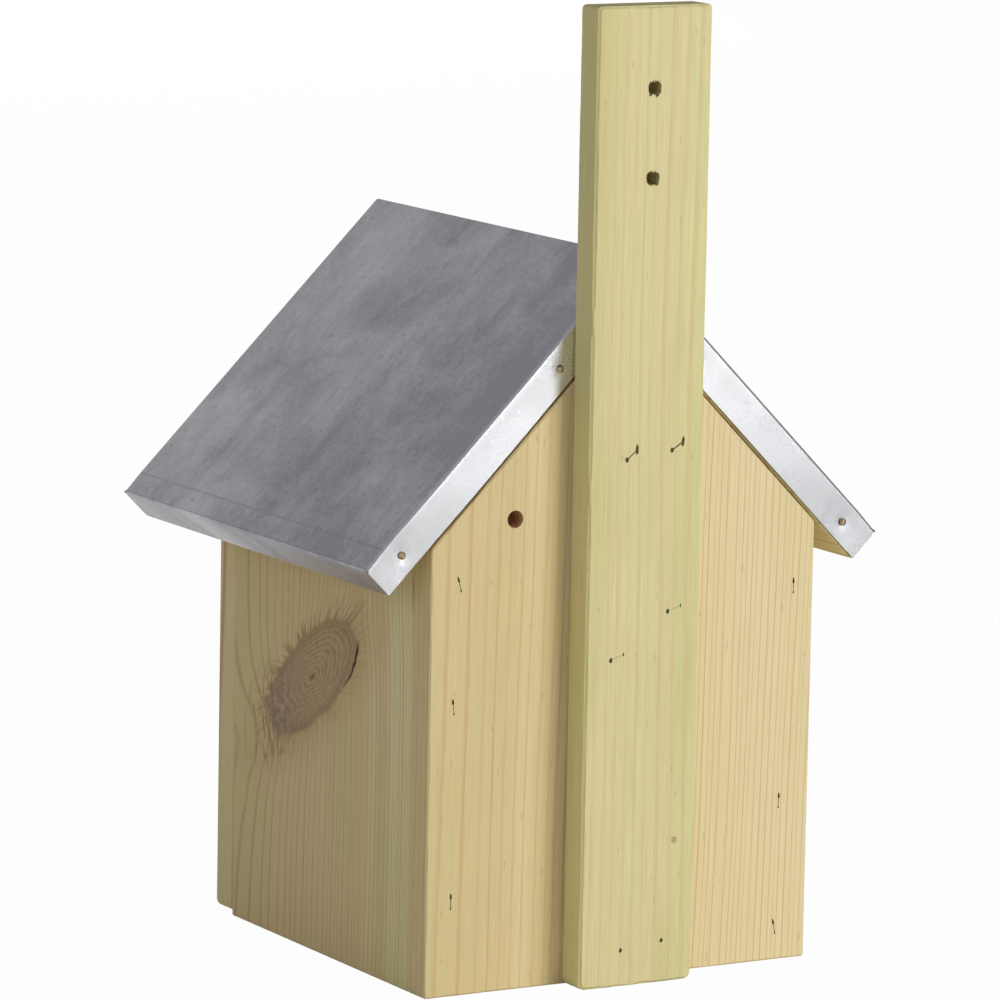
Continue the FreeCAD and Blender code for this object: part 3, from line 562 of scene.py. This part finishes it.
place(back, "pine", "back_panel")

# Floor: a pine board let in between the four walls, 5 mm above their lower edges, with four drain
# holes. It is held by staples through the left wall, and its grain runs from front to back.
FLOOR_LOW, FLOOR_TOP = 5, 17
DRAINS = [(x, y) for x in (-32, 32) for y in (-31.5, 46.5)]
ALONG_Y = (math.pi / 2, 0, 0)
floor_board = block(
    "floor_board", (-INNER_HALF, SIDE_FRONT, FLOOR_LOW), (INNER_HALF, SIDE_BACK, FLOOR_TOP),
)
rule(floor_board, 0, 20)
rule(floor_board, 1, 20)
ease(floor_board, 0.4, WORN)
floor_board.data.materials.append(pine(
    "pine_floor", (40, -90, 0), 3.4, "d8c492", "c49c6e", "dfcb9e", 120, grain=ALONG_Y,
))
bored_floor = opened_wood("bored_floor", "8a6a44", "b8986a")
for x, y in DRAINS:
    carve(floor_board, drill((x, y, (FLOOR_LOW + FLOOR_TOP) / 2), (0, 0, 1), 3), bored_floor)
place(floor_board, "pine", "floor_panel")

# Front gable: the fixed upper part of the front, stapled to the side walls, with the birds' 32 mm
# entrance. The hole was cut with a hole saw, and its outer rim was rounded with sandpaper.
FRONT_FACE = -68.5
GABLE_LOW = 136.54
ENTRANCE_Z, ENTRANCE_RADIUS = 172.54, 16


def lathe(name, profile, matrix, sides):
    """A round piece through rings of given radius and height, closed at both ends."""
    radius, height = profile[0]
    bpy.ops.mesh.primitive_circle_add(
        vertices=sides, radius=radius * MM, fill_type="NGON", location=(0, 0, height * MM),
    )
    piece = bpy.context.object
    piece.name = piece.data.name = name
    bpy.ops.object.mode_set(mode="EDIT")
    for wider, higher in profile[1:]:
        step = (0, 0, (higher - height) * MM)
        bpy.ops.mesh.extrude_region_move(TRANSFORM_OT_translate={"value": step})
        grow = wider / radius
        bpy.ops.transform.resize(value=(grow, grow, 1), center_override=(0, 0, 0))
        radius, height = wider, higher
    bpy.ops.mesh.select_all(action="SELECT")
    bpy.ops.mesh.normals_make_consistent(inside=False)
    done()
    piece.matrix_world = matrix @ piece.matrix_world
    bpy.ops.object.transform_apply()
    return piece


gable = gable_board(
    "front_gable_board", (-HALF_WIDTH, FRONT_FACE, GABLE_LOW),
    (HALF_WIDTH, SIDE_FRONT, GABLE_SHOULDER), GABLE_TOP,
)
rule(gable, 2, 4)
rule(gable, 0, 15)
ease(gable, EASED, WORN)
gable.data.materials.append(pine(
    "pine_front_gable", (-130, -20, 500), 3.2, "d8c594", "c59e74", "e0cfa2", 150,
    branch=((-46, FRONT_FACE, 168), (0.1, -1, 0.15), 4.2, (0, -1, 0)),
))
entrance = lathe("entrance_cutter", [
    (ENTRANCE_RADIUS + wider, height)
    for wider, height in ((0, -3), (0, 10.5), (0.2, 11.1), (0.65, 11.65), (1.5, 12), (1.5, 14))
], standing((0, SIDE_FRONT, ENTRANCE_Z), (0, -1, 0), (1, 0, 0)), 72)
carve(gable, entrance, opened_wood("sawn_pine", "a98a5c", "d2b98a"))
carve(gable, staple_marks([
    standing((side * 66, FRONT_FACE, z), (0, -1, 0), (side, 0, 0))
    for side in (-1, 1) for z in (142.54, 155.5)
], TORN_PITS), shaded_torn_pine)
place(gable, "pine", "front_gable")

# Roof boards: two pine boards, 13 mm thick, with their grain along the ridge. The right one laps
# over the upper end of the left one, and both are stapled down into the side walls.
RIDGE = 228.5
ROOF_FRONT = -94.8
BOARD_THICKNESS, BOARD_LENGTH, SHEET = 13, 127.5, 0.6


def tilt(piece, side):
    """Lays a piece that was made flat, with its ridge end at zero, on one slope of the roof."""
    only(piece)
    slope = Matrix.Rotation(side * math.pi / 4, 4, "Y")
    piece.matrix_world = Matrix.Translation((0, 0, RIDGE * MM)) @ slope
    bpy.ops.object.transform_apply()


for label, side, upper_end in (("right", 1, -BOARD_THICKNESS), ("left", -1, 0)):
    ends = sorted((side * upper_end, side * BOARD_LENGTH))
    board = block(
        f"{label}_roof_plank", (ends[0], ROOF_FRONT + SHEET, 0),
        (ends[1], BACK_FACE - SHEET, BOARD_THICKNESS),
    )
    rule(board, 0, 20)
    rule(board, 1, 30)
    ease(board, 0.4, WORN)
    tilt(board, side)
    board.data.materials.append(pine(
        f"pine_{label}_roof_plank", (side * 20, -150, 0), 3.3, "e6d498", "cfad74", "e2d292", 190,
        grain=ALONG_Y,
    ))
    place(board, "pine", f"{label}_roof_board")

# Roof sheet: one piece of galvanised steel, 0.6 mm thick, folded over the ridge, down over the
# eaves and over the board ends, where copper pins hold it. It is a little dented at the pins, and
# creased near the eaves.
SHEET_TOP = BOARD_THICKNESS + SHEET
SHEET_END = BOARD_LENGTH + SHEET
FLANGE, FLANGE_ROWS = 13, 6
CORNER, FOLD = 1.4, 1.1
PIN_STEPS = (31.9, 115.5)
LAP = 0.8
CREASE = 119
GRID = 72


def run_down(piece, wanted):
    """Folds a flange down from the edges that a test picks."""
    pick(piece, wanted, "EDGE")
    for _ in range(FLANGE_ROWS):
        bpy.ops.mesh.extrude_region_move(
            TRANSFORM_OT_translate={"value": (0, 0, -FLANGE / FLANGE_ROWS * MM)},
        )
    done()


def roof_half(side):
    """One slope with its eave flange and two gable flanges, before it is folded at the ridge."""
    bpy.ops.mesh.primitive_grid_add(x_subdivisions=GRID, y_subdivisions=GRID, size=1)
    half = bpy.context.object
    half.location = (
        (SHEET_END - SHEET_TOP) / 2 * MM, (BACK_FACE + ROOF_FRONT) / 2 * MM, SHEET_TOP * MM,
    )
    half.scale = ((SHEET_END + SHEET_TOP) * MM, (BACK_FACE - ROOF_FRONT) * MM, 1)
    bpy.ops.object.transform_apply()
    step_x = (SHEET_END + SHEET_TOP) / GRID
    step_y = (BACK_FACE - ROOF_FRONT) / GRID
    shift(half, lambda p: abs(p.x - SHEET_END + step_x) < 0.1, (step_x - CORNER, 0, 0))
    shift(half, lambda p: abs(p.y - BACK_FACE + step_y) < 0.1, (0, step_y - CORNER, 0))
    shift(half, lambda p: abs(p.y - ROOF_FRONT - step_y) < 0.1, (0, CORNER - step_y, 0))

    def at_eave(a, b):
        inside = all(ROOF_FRONT + 0.5 < p.y < BACK_FACE - 0.5 for p in (a, b))
        return inside and min(a.x, b.x) > SHEET_END - 0.1

    def at_gables(a, b):
        front = max(a.y, b.y) < ROOF_FRONT + 0.1
        back = min(a.y, b.y) > BACK_FACE - 0.1
        short = max(a.x, b.x) < SHEET_END - 0.5
        return (front or back) and short and max(a.z, b.z) > SHEET_TOP - 0.01

    run_down(half, at_eave)
    run_down(half, at_gables)
    for vertex in half.data.vertices:
        x, y, z = vertex.co / MM
        drop = SHEET_TOP - z
        if drop > 1 and x > SHEET_END - 0.5:
            # below the corner notch, the eave flange reaches in behind the gable flanges
            if y > BACK_FACE - CORNER - 0.1:
                y = BACK_FACE - LAP
            if y < ROOF_FRONT + CORNER + 0.1:
                y = ROOF_FRONT + LAP
        if drop > 0.01 and x < SHEET_END - 0.5:
            # the flange's upper end is cut upright at the ridge
            fold = SHEET_END - CORNER
            slide = (fold - x) / (fold + SHEET_TOP)
            if drop > 1 and x > fold - 0.1:
                x = SHEET_END - 0.1
            x += (drop + 0.2) * slide
            # each pin's dent is 0.28 mm deep and about 3 mm wide to each side, within a low rim
            for pin in PIN_STEPS:
                away = math.hypot(x - pin, z - BOARD_THICKNESS / 2)
                dent = 0.28 * math.exp(-(away / 3.2) ** 2)
                dent -= 0.1 * math.exp(-((away - 5.5) / 2.2) ** 2)
                y -= math.copysign(dent, y)
            y += math.copysign(0.1, y) * noise.noise((x * 0.05, y, z * 0.1))
            # clear of the batten, its lower edge stands off the board by a third of a millimetre
            bow = math.sin(math.pi * min(1, max(0, (x - 34) / 80)))
            y += math.copysign(0.35 * drop / FLANGE * bow, y)
        if drop <= 0.01:
            # below the crease, the sheet falls 4 mm more in 100, and all of the slope is a little
            # wavy, though less so within 12 mm of its folds
            z -= max(0, x - CREASE) * 0.04
            inner = min(12, SHEET_END - x, BACK_FACE - y, y - ROOF_FRONT, x + SHEET_TOP) / 12
            z += 0.22 * inner * noise.noise((x * 0.022, y * 0.03, 3.7 * side))
        vertex.co = Vector((side * x, y, z)) * MM
    if side < 0:
        pick(half, lambda p: True)
        bpy.ops.mesh.flip_normals()
        done()
    tilt(half, side)
    return half


left_half = roof_half(-1)
sheet = roof_half(1)
only(sheet)
left_half.select_set(True)
bpy.ops.object.join()
pick(sheet, lambda p: True)
bpy.ops.mesh.remove_doubles(threshold=0.05 * MM)
done()
round_sharp(sheet, 40, FOLD, 5)
wall_of_sheet = sheet.modifiers.new("sheet", "SOLIDIFY")
wall_of_sheet.thickness = SHEET * MM
wall_of_sheet.offset = -1
bpy.ops.object.modifier_apply(modifier=wall_of_sheet.name)
sheet.name = sheet.data.name = "roof_sheet_metal"

# hot dipped zinc, dulled outdoors: to the eye a clouded grey metal with soft streaks and few bluish
# specks
METALLIC = {"Metallic": 1}
zinc, tree, metal = new_material("galvanised_steel", METALLIC)
spot = add(tree, "TexCoord")
where = add(tree, "VectorMath", {0: spot.outputs["Object"], "Scale": 1 / MM}, operation="SCALE")
axis = add(tree, "SeparateXYZ", {0: where})
off_middle = add(tree, "Math", {0: axis.outputs["X"]}, operation="ABSOLUTE")
down = add(tree, "Math", {0: off_middle, 1: axis.outputs["Z"]}, operation="SUBTRACT")
up = add(tree, "Math", {0: off_middle, 1: axis.outputs["Z"]}, operation="ADD")
across = add(tree, "Math", {0: axis.outputs["Y"], 1: up}, operation="ADD")
side_seed = add(tree, "Math", {0: axis.outputs["X"]}, operation="SIGN")
lay = add(tree, "CombineXYZ", {0: across, 1: down, 2: side_seed})
# streaks 9 mm wide run down the slope, over clouds about 40 mm wide and a 2 mm mottle, all darker
# and duller towards the back
streak = add(tree, "VectorMath", {0: lay, 1: (1 / 9, 1 / 120, 9)}, **MULTIPLY)
streak = add(tree, "TexNoise", {"Vector": streak, "Scale": 1, "Detail": 3, "Roughness": 0.6})
cloud = add(tree, "VectorMath", {0: lay, 1: (1 / 38, 1 / 60, 5)}, **MULTIPLY)
cloud = add(tree, "TexNoise", {
    "Vector": cloud, "Scale": 1, "Detail": 6, "Roughness": 0.65, "Distortion": 0.4,
})
mottle = add(tree, "TexNoise", {"Vector": where, "Scale": 0.5, "Detail": 3})
dull = add(tree, "Math", {0: streak, 1: 0.3, 2: cloud}, operation="MULTIPLY_ADD")
dull = add(tree, "Math", {0: mottle, 1: 0.3, 2: dull}, operation="MULTIPLY_ADD")
duller_to_back = add(tree, "MapRange", {0: axis.outputs["Y"], 1: -95, 2: 84, 3: 0.1, 4: -0.22})
dull = add(tree, "Math", {0: dull, 1: duller_to_back}, operation="ADD")
dull = add(tree, "MapRange", {0: dull, 1: 0.58, 2: 1.02})
colour = add(tree, "Mix", {0: dull, 6: "bebdc4", 7: "f9f9fb"}, **RGBA)
speck = add(tree, "TexVoronoi", {"Vector": where, "Scale": 0.14})
speck = add(tree, "MapRange", {0: speck, 1: 0.08, 2: 0.14, 3: 0.4, 4: 0.0})
colour = add(tree, "Mix", {0: speck, 6: colour, 7: "9aa1ae"}, **RGBA)
# painted shade: a dark line 1 mm wide along the crease, broken here and there
off_crease = add(tree, "Math", {0: down, 1: RIDGE - CREASE * math.sqrt(2)}, operation="ADD")
off_crease = add(tree, "Math", {0: off_crease}, operation="ABSOLUTE")
crease_shade = add(tree, "MapRange", {0: off_crease, 1: 0.2, 2: 0.9, 3: 0.3, 4: 0.0})
broken = add(tree, "MapRange", {0: cloud, 1: 0.4, 2: 0.55, 3: 0.35, 4: 1.0})
crease_shade = add(tree, "Math", {0: crease_shade, 1: broken}, **MULTIPLY)
colour = add(tree, "Mix", {0: crease_shade, 6: colour, 7: "86868a"}, **RGBA)
# painted reflection: the gable flanges, which face front and back, are paler, standing for the
# bright floor and lamp that they mirror
facing = add(tree, "SeparateXYZ", {0: spot.outputs["Normal"]})
painted_flange_sheen = add(tree, "Math", {0: facing.outputs["Y"]}, operation="ABSOLUTE")
painted_flange_sheen = add(tree, "MapRange", {0: painted_flange_sheen, 1: 0.5, 2: 0.9, 4: 0.65})
colour = add(tree, "Mix", {0: painted_flange_sheen, 6: colour, 7: "f1f2f2"}, **RGBA)
gloss = add(tree, "MapRange", {0: dull, 3: 0.275, 4: 0.215})
relief = add(tree, "Bump", {"Strength": 0.06, "Distance": 0.2 * MM, "Height": mottle})
connect(tree, metal, colour, gloss, relief)
sheet.data.materials.append(zinc)
place(sheet, "galvanised_sheet", "roof_sheet", angle=50)

# Copper pins: round headed nails, 20 mm long, driven through the gable flanges into the roof
# boards, four at each end. Their heads are tarnished brown, and rubbed bright in places.
PIN_MARKS = [
    (
        side * (step + BOARD_THICKNESS / 2) * math.sqrt(0.5),
        RIDGE + (BOARD_THICKNESS / 2 - step) * math.sqrt(0.5),
    )
    for side in (-1, 1)
    for step in PIN_STEPS
]
# copper left outdoors: to the eye a dull brown, with paler spots 1 mm wide where it was rubbed
copper, tree, metal = new_material("tarnished_copper", METALLIC)
spot = add(tree, "TexCoord")
stain = add(tree, "TexNoise", {"Vector": spot.outputs["Object"], "Scale": 0.9 / MM, "Detail": 2})
worn = add(tree, "MapRange", {0: stain, 1: 0.35, 2: 0.65})
colour = add(tree, "Mix", {0: worn, 6: "8d6d4e", 7: "e0c8a4"}, **RGBA)
gloss = add(tree, "MapRange", {0: stain, 3: 0.3, 4: 0.55})
connect(tree, metal, colour, gloss)
for label, y, outward in (("rear", BACK_FACE, 1), ("front", ROOF_FRONT, -1)):
    pin = lathe(f"{label}_pin", [
        (0.15, -20), (0.7, -18.6), (0.7, -0.05),
        (1.3, 0.0), (1.32, 0.25), (1.12, 0.5), (0.75, 0.64), (0.3, 0.7),
    ], Matrix.Identity(4), 20)
    pins = copies(pin, [standing((x, y, z), (0, outward, 0), (1, 0, 0)) for x, z in PIN_MARKS])
    pins.name = pins.data.name = f"{label}_copper_pins"
    pins.data.materials.append(copper)
    place(pins, "copper_pins", f"roof_sheet_nails_{label}", angle=60)

# Hanging batten: a planed and impregnated pine lath, 44 x 12 mm, with its edges rounded. It is
# stapled to the back panel and stands above the roof, where two roughly drilled holes take the
# screws that hang the box.
WALL_PLANE = 95.5
BATTEN_HALF, BATTEN_LENGTH = 22, 332
HANG_HOLES, HANG_RADIUS = (304.5, 274.5), 2.5
batten = block(
    "batten_lath", (-BATTEN_HALF, BACK_FACE, 0), (BATTEN_HALF, WALL_PLANE, BATTEN_LENGTH),
)
rule(batten, 2, 80)
rule(batten, 0, 6)


def is_corner(a, b):
    """Whether an edge runs through a board's thickness."""
    return abs(a.y - b.y) > 1


def round_off(piece, wanted, width, segments):
    """Rounds the edges that a test picks."""
    pick(piece, wanted, "EDGE")
    bpy.ops.mesh.bevel(offset=width * MM, segments=segments, affect="EDGES")
    done()


for round_corner, end in ((2.6, 0), (1.6, BATTEN_LENGTH)):
    round_off(batten, lambda a, b: is_corner(a, b) and abs(a.z - end) < 0.1, round_corner, 6)
ease(batten, 0.8, 0.4)
batten.data.materials.append(pine(
    "impregnated_pine", (-80, 40, 0), 3.6, "d1cd93", "cfbc8c", "d5c998", 90, green=0.7,
    end="97925d", edges="d3c98b", crisp=0.45, fibre=0.09,
    branch=((-14, WALL_PLANE, 49), (0, 1, 0.3), 0.9, (0, 1, 0)),
))
bored_lath = opened_wood("bored_lath", "8f8450", "ded49f")
# painted shade: the batten's staple pits are lined dark olive, for the shade inside them as well as
# the torn fibres
shaded_torn_lath = opened_wood("shaded_torn_lath", "6c6a38", "a5a066")
for number, height in enumerate(HANG_HOLES):
    # the drill tore the fibres, and left each hole squarish and ragged along the grain
    hole = drill((0, (BACK_FACE + WALL_PLANE) / 2, height), (0, 1, 0), HANG_RADIUS, sides=64)
    for vertex in hole.data.vertices:
        x, y, z = vertex.co / MM
        turn = math.atan2(z - height, x)
        cosine, sine = math.cos(turn), math.sin(turn)
        reach = HANG_RADIUS / (abs(cosine) ** 3 + abs(sine) ** 3) ** (1 / 3)
        reach += 0.35 * noise.noise((2 * cosine, 2 * sine, 5.3 * number))
        torn = noise.noise((9 * cosine, 9 * sine, 1.7 + number))
        reach += 1.3 * abs(sine) ** 3 * torn
        vertex.co = Vector((reach * cosine, y, height + reach * sine)) * MM
    carve(batten, hole, bored_lath)
for staples, pits, slit_width, grain in (
    ([(-12, 184, -58), (5.7, 182, -51)], [(2.4, 4.0, 1.5), (-2.6, 2.1, 1.6)], 0.55, 54),
    ([(-12, 128.7, -71), (9.9, 113.5, -71)], [(-2.6, 2.0, 1.4), (2.6, 1.3, 0.6)], 0.16, 71),
    ([(-12, 15.2, -71), (4, 13.2, -71)], [(-2.2, 1.8, 1.4)], 0, 71),
):
    marks = staple_marks(leaning(WALL_PLANE, staples), pits, slit_width, grain)
    carve(batten, marks, shaded_torn_lath)
place(batten, "treated_pine", "hanging_batten")

# Staples: narrow crown staples of galvanised wire, 1.1 mm thick, shot in from outside until their
# crowns lay below the face. They hold the back, the gable, the floor, the roof and the batten. To
# the eye the drawn wire is a dark olive grey, mottled every 0.4 mm.
wire, tree, metal = new_material("galvanised_wire", METALLIC)
spot = add(tree, "TexCoord")
drawn = add(tree, "TexNoise", {
    "Vector": spot.outputs["Object"], "Scale": 1 / (0.4 * MM), "Detail": 2,
})
colour = add(tree, "Mix", {0: drawn, 6: "5f5b42", 7: "938e70"}, **RGBA)
gloss = add(tree, "MapRange", {0: drawn, 3: 0.35, 4: 0.6})
connect(tree, metal, colour, gloss)
for holder in ("back_panel", "batten", "floor", "gable", "roof_board", "ridge"):
    staples = frame["nodes"][f"{holder}_staples"].data
    staples.materials.clear()
    staples.materials.append(wire)

# Door: a pine board that closes the box below the gable, hung on the left wall. Its outer lower
# edge is rounded, and it ends above the walls' lower edges, so that it swings clear of the ground.
DOOR_LOW, DOOR_TOP = 2, 135.54
door = block("door_board", (-HALF_WIDTH, FRONT_FACE, DOOR_LOW), (HALF_WIDTH, SIDE_FRONT, DOOR_TOP))
rule(door, 2, 26)
rule(door, 0, 28)
round_off(
    door, lambda a, b: max(a.z, b.z) < DOOR_LOW + 0.1 and max(a.y, b.y) < FRONT_FACE + 0.1, 2, 6,
)
ease(door, EASED, WORN)
door.data.materials.append(pine(
    "pine_door", (-150, -10, 900), 3.3, "d0bb8b", "b98f68", "d9c698", 160,
    branch=((28, FRONT_FACE, 52), (0.25, -1, 0.3), 6, (0, -1, 0)),
))
place(door, "pine", "front_door")

# Hinges: two small butt hinges of zinc plated steel, screwed to the left wall and the door's edge.
# Each leaf is a stamped plate with rounded corners, whose knuckles are rolled round a loose pin.
HINGE_X = -77
LEAF_FACE = -75.8
KNUCKLE, BORE, LEAF_NEAR, LEAF_FAR = 1.7, 1.05, 2, 10
HALF_HINGE = 12.5
HINGE_HEIGHTS = (113.54, 24)
# bright zinc plating: to the eye a silver with a faint yellow cast, and handling marks 2.5 mm wide
plating, tree, metal = new_material("bright_zinc_plate", METALLIC)
spot = add(tree, "TexCoord")
mark = add(tree, "TexNoise", {
    "Vector": spot.outputs["Object"], "Scale": 1 / (2.5 * MM), "Detail": 4, "Roughness": 0.6,
})
colour = add(tree, "Mix", {0: mark, 6: "a8a69b", 7: "d0cfc7"}, **RGBA)
gloss = add(tree, "MapRange", {0: mark, 1: 0.3, 2: 0.7, 3: 0.22, 4: 0.42})
relief = add(tree, "Bump", {"Strength": 0.1, "Distance": 0.1 * MM, "Height": mark})
connect(tree, metal, colour, gloss, relief)
for label, height in zip(("upper_hinge", "lower_hinge"), HINGE_HEIGHTS):
    third = HALF_HINGE * 2 / 3
    for kind, side, thirds in (("frame_leaf", 1, (-1, 1)), ("door_leaf", -1, (0,))):
        near, far = SIDE_FRONT + side * LEAF_NEAR, SIDE_FRONT + side * LEAF_FAR
        leaf = block(
            f"{label}_{kind}_plate", (LEAF_FACE, min(near, far), height - HALF_HINGE),
            (-HALF_WIDTH, max(near, far), height + HALF_HINGE),
        )
        rule(leaf, 2, 2)
        for step in thirds:
            middle = height + step * third
            pick(leaf, lambda p: abs(p.y - near) < 0.1 and abs(p.z - middle) < third / 2 + 0.1)
            bpy.ops.mesh.extrude_region_move(
                TRANSFORM_OT_translate={"value": (0, -side * LEAF_NEAR * MM, 0)},
            )
            done()

        def at_outer_corner(a, b):
            at_end = abs(a.z - height) > HALF_HINGE - 0.1
            return at_end and abs(a.x - b.x) > 0.1 and abs(a.y - far) < 0.1

        round_off(leaf, at_outer_corner, 2, 5)
        ease(leaf, 0.15, 0)
        for step in thirds:
            half = third / 2 - 0.05
            knuckle = lathe("knuckle", [
                (KNUCKLE - 0.25, -half), (KNUCKLE, -half + 0.25),
                (KNUCKLE, half - 0.25), (KNUCKLE - 0.25, half),
            ], standing((HINGE_X, SIDE_FRONT, height + step * third), (0, 0, 1), (1, 0, 0)), 32)
            combine(leaf, knuckle, "UNION")
        carve(leaf, drill((HINGE_X, SIDE_FRONT, height), (0, 0, 1), BORE, 30, 24))
        leaf.data.materials.append(plating)
        place(leaf, "zinc_plated_steel", f"{label}_{kind}", angle=35)
    pin = lathe(f"{label}_loose_pin", [
        (0.55, -HALF_HINGE), (0.9, -HALF_HINGE + 0.12), (1.0, -HALF_HINGE + 0.4),
        (1.0, HALF_HINGE - 0.4), (0.9, HALF_HINGE - 0.12), (0.55, HALF_HINGE),
    ], standing((HINGE_X, SIDE_FRONT, height), (0, 0, 1), (1, 0, 0)), 24)
    pin.data.materials.append(plating)
    place(pin, "zinc_plated_steel", f"{label}_pin", angle=50)

# Hinge screws: small raised head wood screws with a cross recess, two in each leaf, each left at
# its own turn. They are zinc plated like the hinges.
SCREW_HEIGHTS = [height + step for height in HINGE_HEIGHTS for step in (-7.5, 7.5)]
SCREW_TURNS = (0.2, 1.1, 0.7, 0.45)
SCREW_REACH = 6


def wood_screw(name, profile, recess, sides=24):
    """A turned screw with its head at zero, and a cross recess of given length, width and depth."""
    screw = lathe(name, profile, Matrix.Identity(4), sides)
    long, wide, deep = recess
    top = profile[-1][1]
    for x, y in ((long / 2, wide / 2), (wide / 2, long / 2)):
        carve(screw, block("recess", (-x, -y, top - deep), (x, y, top + 1)))
    return screw


for kind, side in (("frame", 1), ("door", -1)):
    screw = wood_screw(f"{kind}_screw", [
        (0.2, -9), (1.1, -6.5), (1.1, -0.1),
        (1.95, 0.0), (2.0, 0.2), (1.75, 0.6), (1.2, 0.88), (0.4, 1.0),
    ], (2.2, 0.5, 0.55))
    y = SIDE_FRONT + side * SCREW_REACH
    screws = copies(screw, [
        standing((LEAF_FACE, y, z), (-1, 0, 0), (0, math.cos(turn), math.sin(turn)))
        for z, turn in zip(SCREW_HEIGHTS, SCREW_TURNS)
    ])
    screws.name = screws.data.name = f"{kind}_leaf_screws"
    screws.data.materials.append(plating)
    place(screws, "zinc_plated_steel", f"hinge_{kind}_screws")

# Turn button: a strip of pine with round corners, held by one screw on the gable, just above the
# door. Turned upright, it hangs over the door's upper edge and keeps the door shut.
BUTTON_X, BUTTON_Z = 45, 146.04
BUTTON_FACE, BUTTON_BACK, SCREW_SEAT = -76.7, -68.7, -76.9
button = block(
    "button_strip", (BUTTON_X - 19, BUTTON_FACE, BUTTON_Z - 6),
    (BUTTON_X + 19, BUTTON_BACK, BUTTON_Z + 6),
)
round_off(button, is_corner, 5, 8)
ease(button, 0.8, 0.15, 3)
ALONG_X = (0, math.pi / 2, 0)
button.data.materials.append(pine(
    "pine_button", (-60, 30, 0), 2.2, "d2ba86", "b98f62", "d9c494", 160, grain=ALONG_X, green=0.1,
))
screw_hole = drill((BUTTON_X, (BUTTON_FACE + BUTTON_BACK) / 2, BUTTON_Z), (0, 1, 0), 1.8)
carve(button, screw_hole, bored_floor)
place(button, "pine", "turn_button")
button_screw = wood_screw("button_pivot", [
    (0.3, -17), (1.75, -12), (1.75, -0.1),
    (3.4, 0.0), (3.5, 0.4), (3.1, 1.2), (2.1, 1.75), (0.7, 2.0),
], (3.8, 0.8, 1.0), 32)
button_screw.matrix_world = standing((BUTTON_X, SCREW_SEAT, BUTTON_Z), (0, -1, 0), (0.8, 0, 0.6))
only(button_screw)
bpy.ops.object.transform_apply()
button_screw.data.materials.append(plating)
place(button_screw, "zinc_plated_steel", "turn_button_screw")

# Studio, as the box was photographed from behind: white paper, a large soft box with film that
# takes off its glare and a small open lamp below it, both behind on the left wall's side, a weak
# fill on the right wall's side, and a lamp that keeps the front out of the dark.
bpy.ops.mesh.primitive_plane_add(size=24)
ground = bpy.context.object
ground.name = ground.data.name = "studio_floor"
# matt paper: to the eye an even white, and dimmer where metal mirrors it
paper, tree, matt = new_material("white_paper", {
    "Base Color": linear("ebebeb"), "Roughness": 0.9, "Specular IOR Level": 0.1,
})
glow = add(tree, "Emission", {"Color": (1, 1, 1, 1), "Strength": 1.0})
ray = add(tree, "LightPath")
seen = add(tree, "Math", {
    0: ray.outputs["Is Camera Ray"], 1: ray.outputs["Is Transmission Ray"],
}, operation="MAXIMUM")
seen = add(tree, "Math", {0: seen, 1: 0.97}, **MULTIPLY)
mirrored = add(tree, "Math", {
    0: ray.outputs["Is Glossy Ray"], 1: 0.05, 2: seen,
}, operation="MULTIPLY_ADD")
white = add(tree, "MixShader", {0: mirrored, 1: matt, 2: glow})
tree.links.new(white.outputs[0], tree.nodes["Material Output"].inputs["Surface"])
ground.data.materials.append(paper)
scene = bpy.context.scene


def lamp(name, at, width, watts, glare):
    """A square soft box turned to the nest box, with or without its glare on metal."""
    light = bpy.data.lights.new(name, "AREA")
    light.shape = "SQUARE"
    light.size = width
    light.energy = watts
    item = bpy.data.objects.new(name, light)
    item.location = at
    item.rotation_euler = (Vector((0, 0, 0.15)) - Vector(at)).to_track_quat("-Z", "Y").to_euler()
    item.visible_glossy = glare
    scene.collection.objects.link(item)


lamp("key_lamp", (-2.1, 4.0, 1.7), 2.5, 138, False)
lamp("low_lamp", (-2.1, 4.0, 0.6), 1.1, 15, True)
lamp("fill_lamp", (3.2, 1.2, 1.0), 2.0, 12, True)
lamp("front_lamp", (-1.1, -3.5, 0.9), 2.0, 28, False)
world = bpy.data.worlds.new("studio")
world.use_nodes = True
tree = world.node_tree
ray = add(tree, "LightPath")
direction = add(tree, "SeparateXYZ", {0: add(tree, "TexCoord").outputs["Generated"]})
room = add(tree, "MapRange", {0: direction.outputs["Z"], 1: -0.1, 2: 0.9})
room = add(tree, "Mix", {0: room, 6: (0.23, 0.23, 0.237, 1), 7: (0.40, 0.40, 0.412, 1)}, **RGBA)
sky = add(tree, "Mix", {0: ray.outputs["Is Camera Ray"], 6: room, 7: (1, 1, 1, 1)}, **RGBA)
tree.links.new(sky.outputs[2], tree.nodes["Background"].inputs["Color"])
scene.world = world
scene.view_settings.view_transform = "Standard"
camera = bpy.data.objects.new("camera", bpy.data.cameras.new("camera"))
camera.location = (1.11020, 1.92952, 0.51071)
camera.rotation_euler = (1.411045, -0.018412, 2.622985)
camera.data.lens = 233.573
camera.data.sensor_width = 36
scene.collection.objects.link(camera)
scene.camera = camera
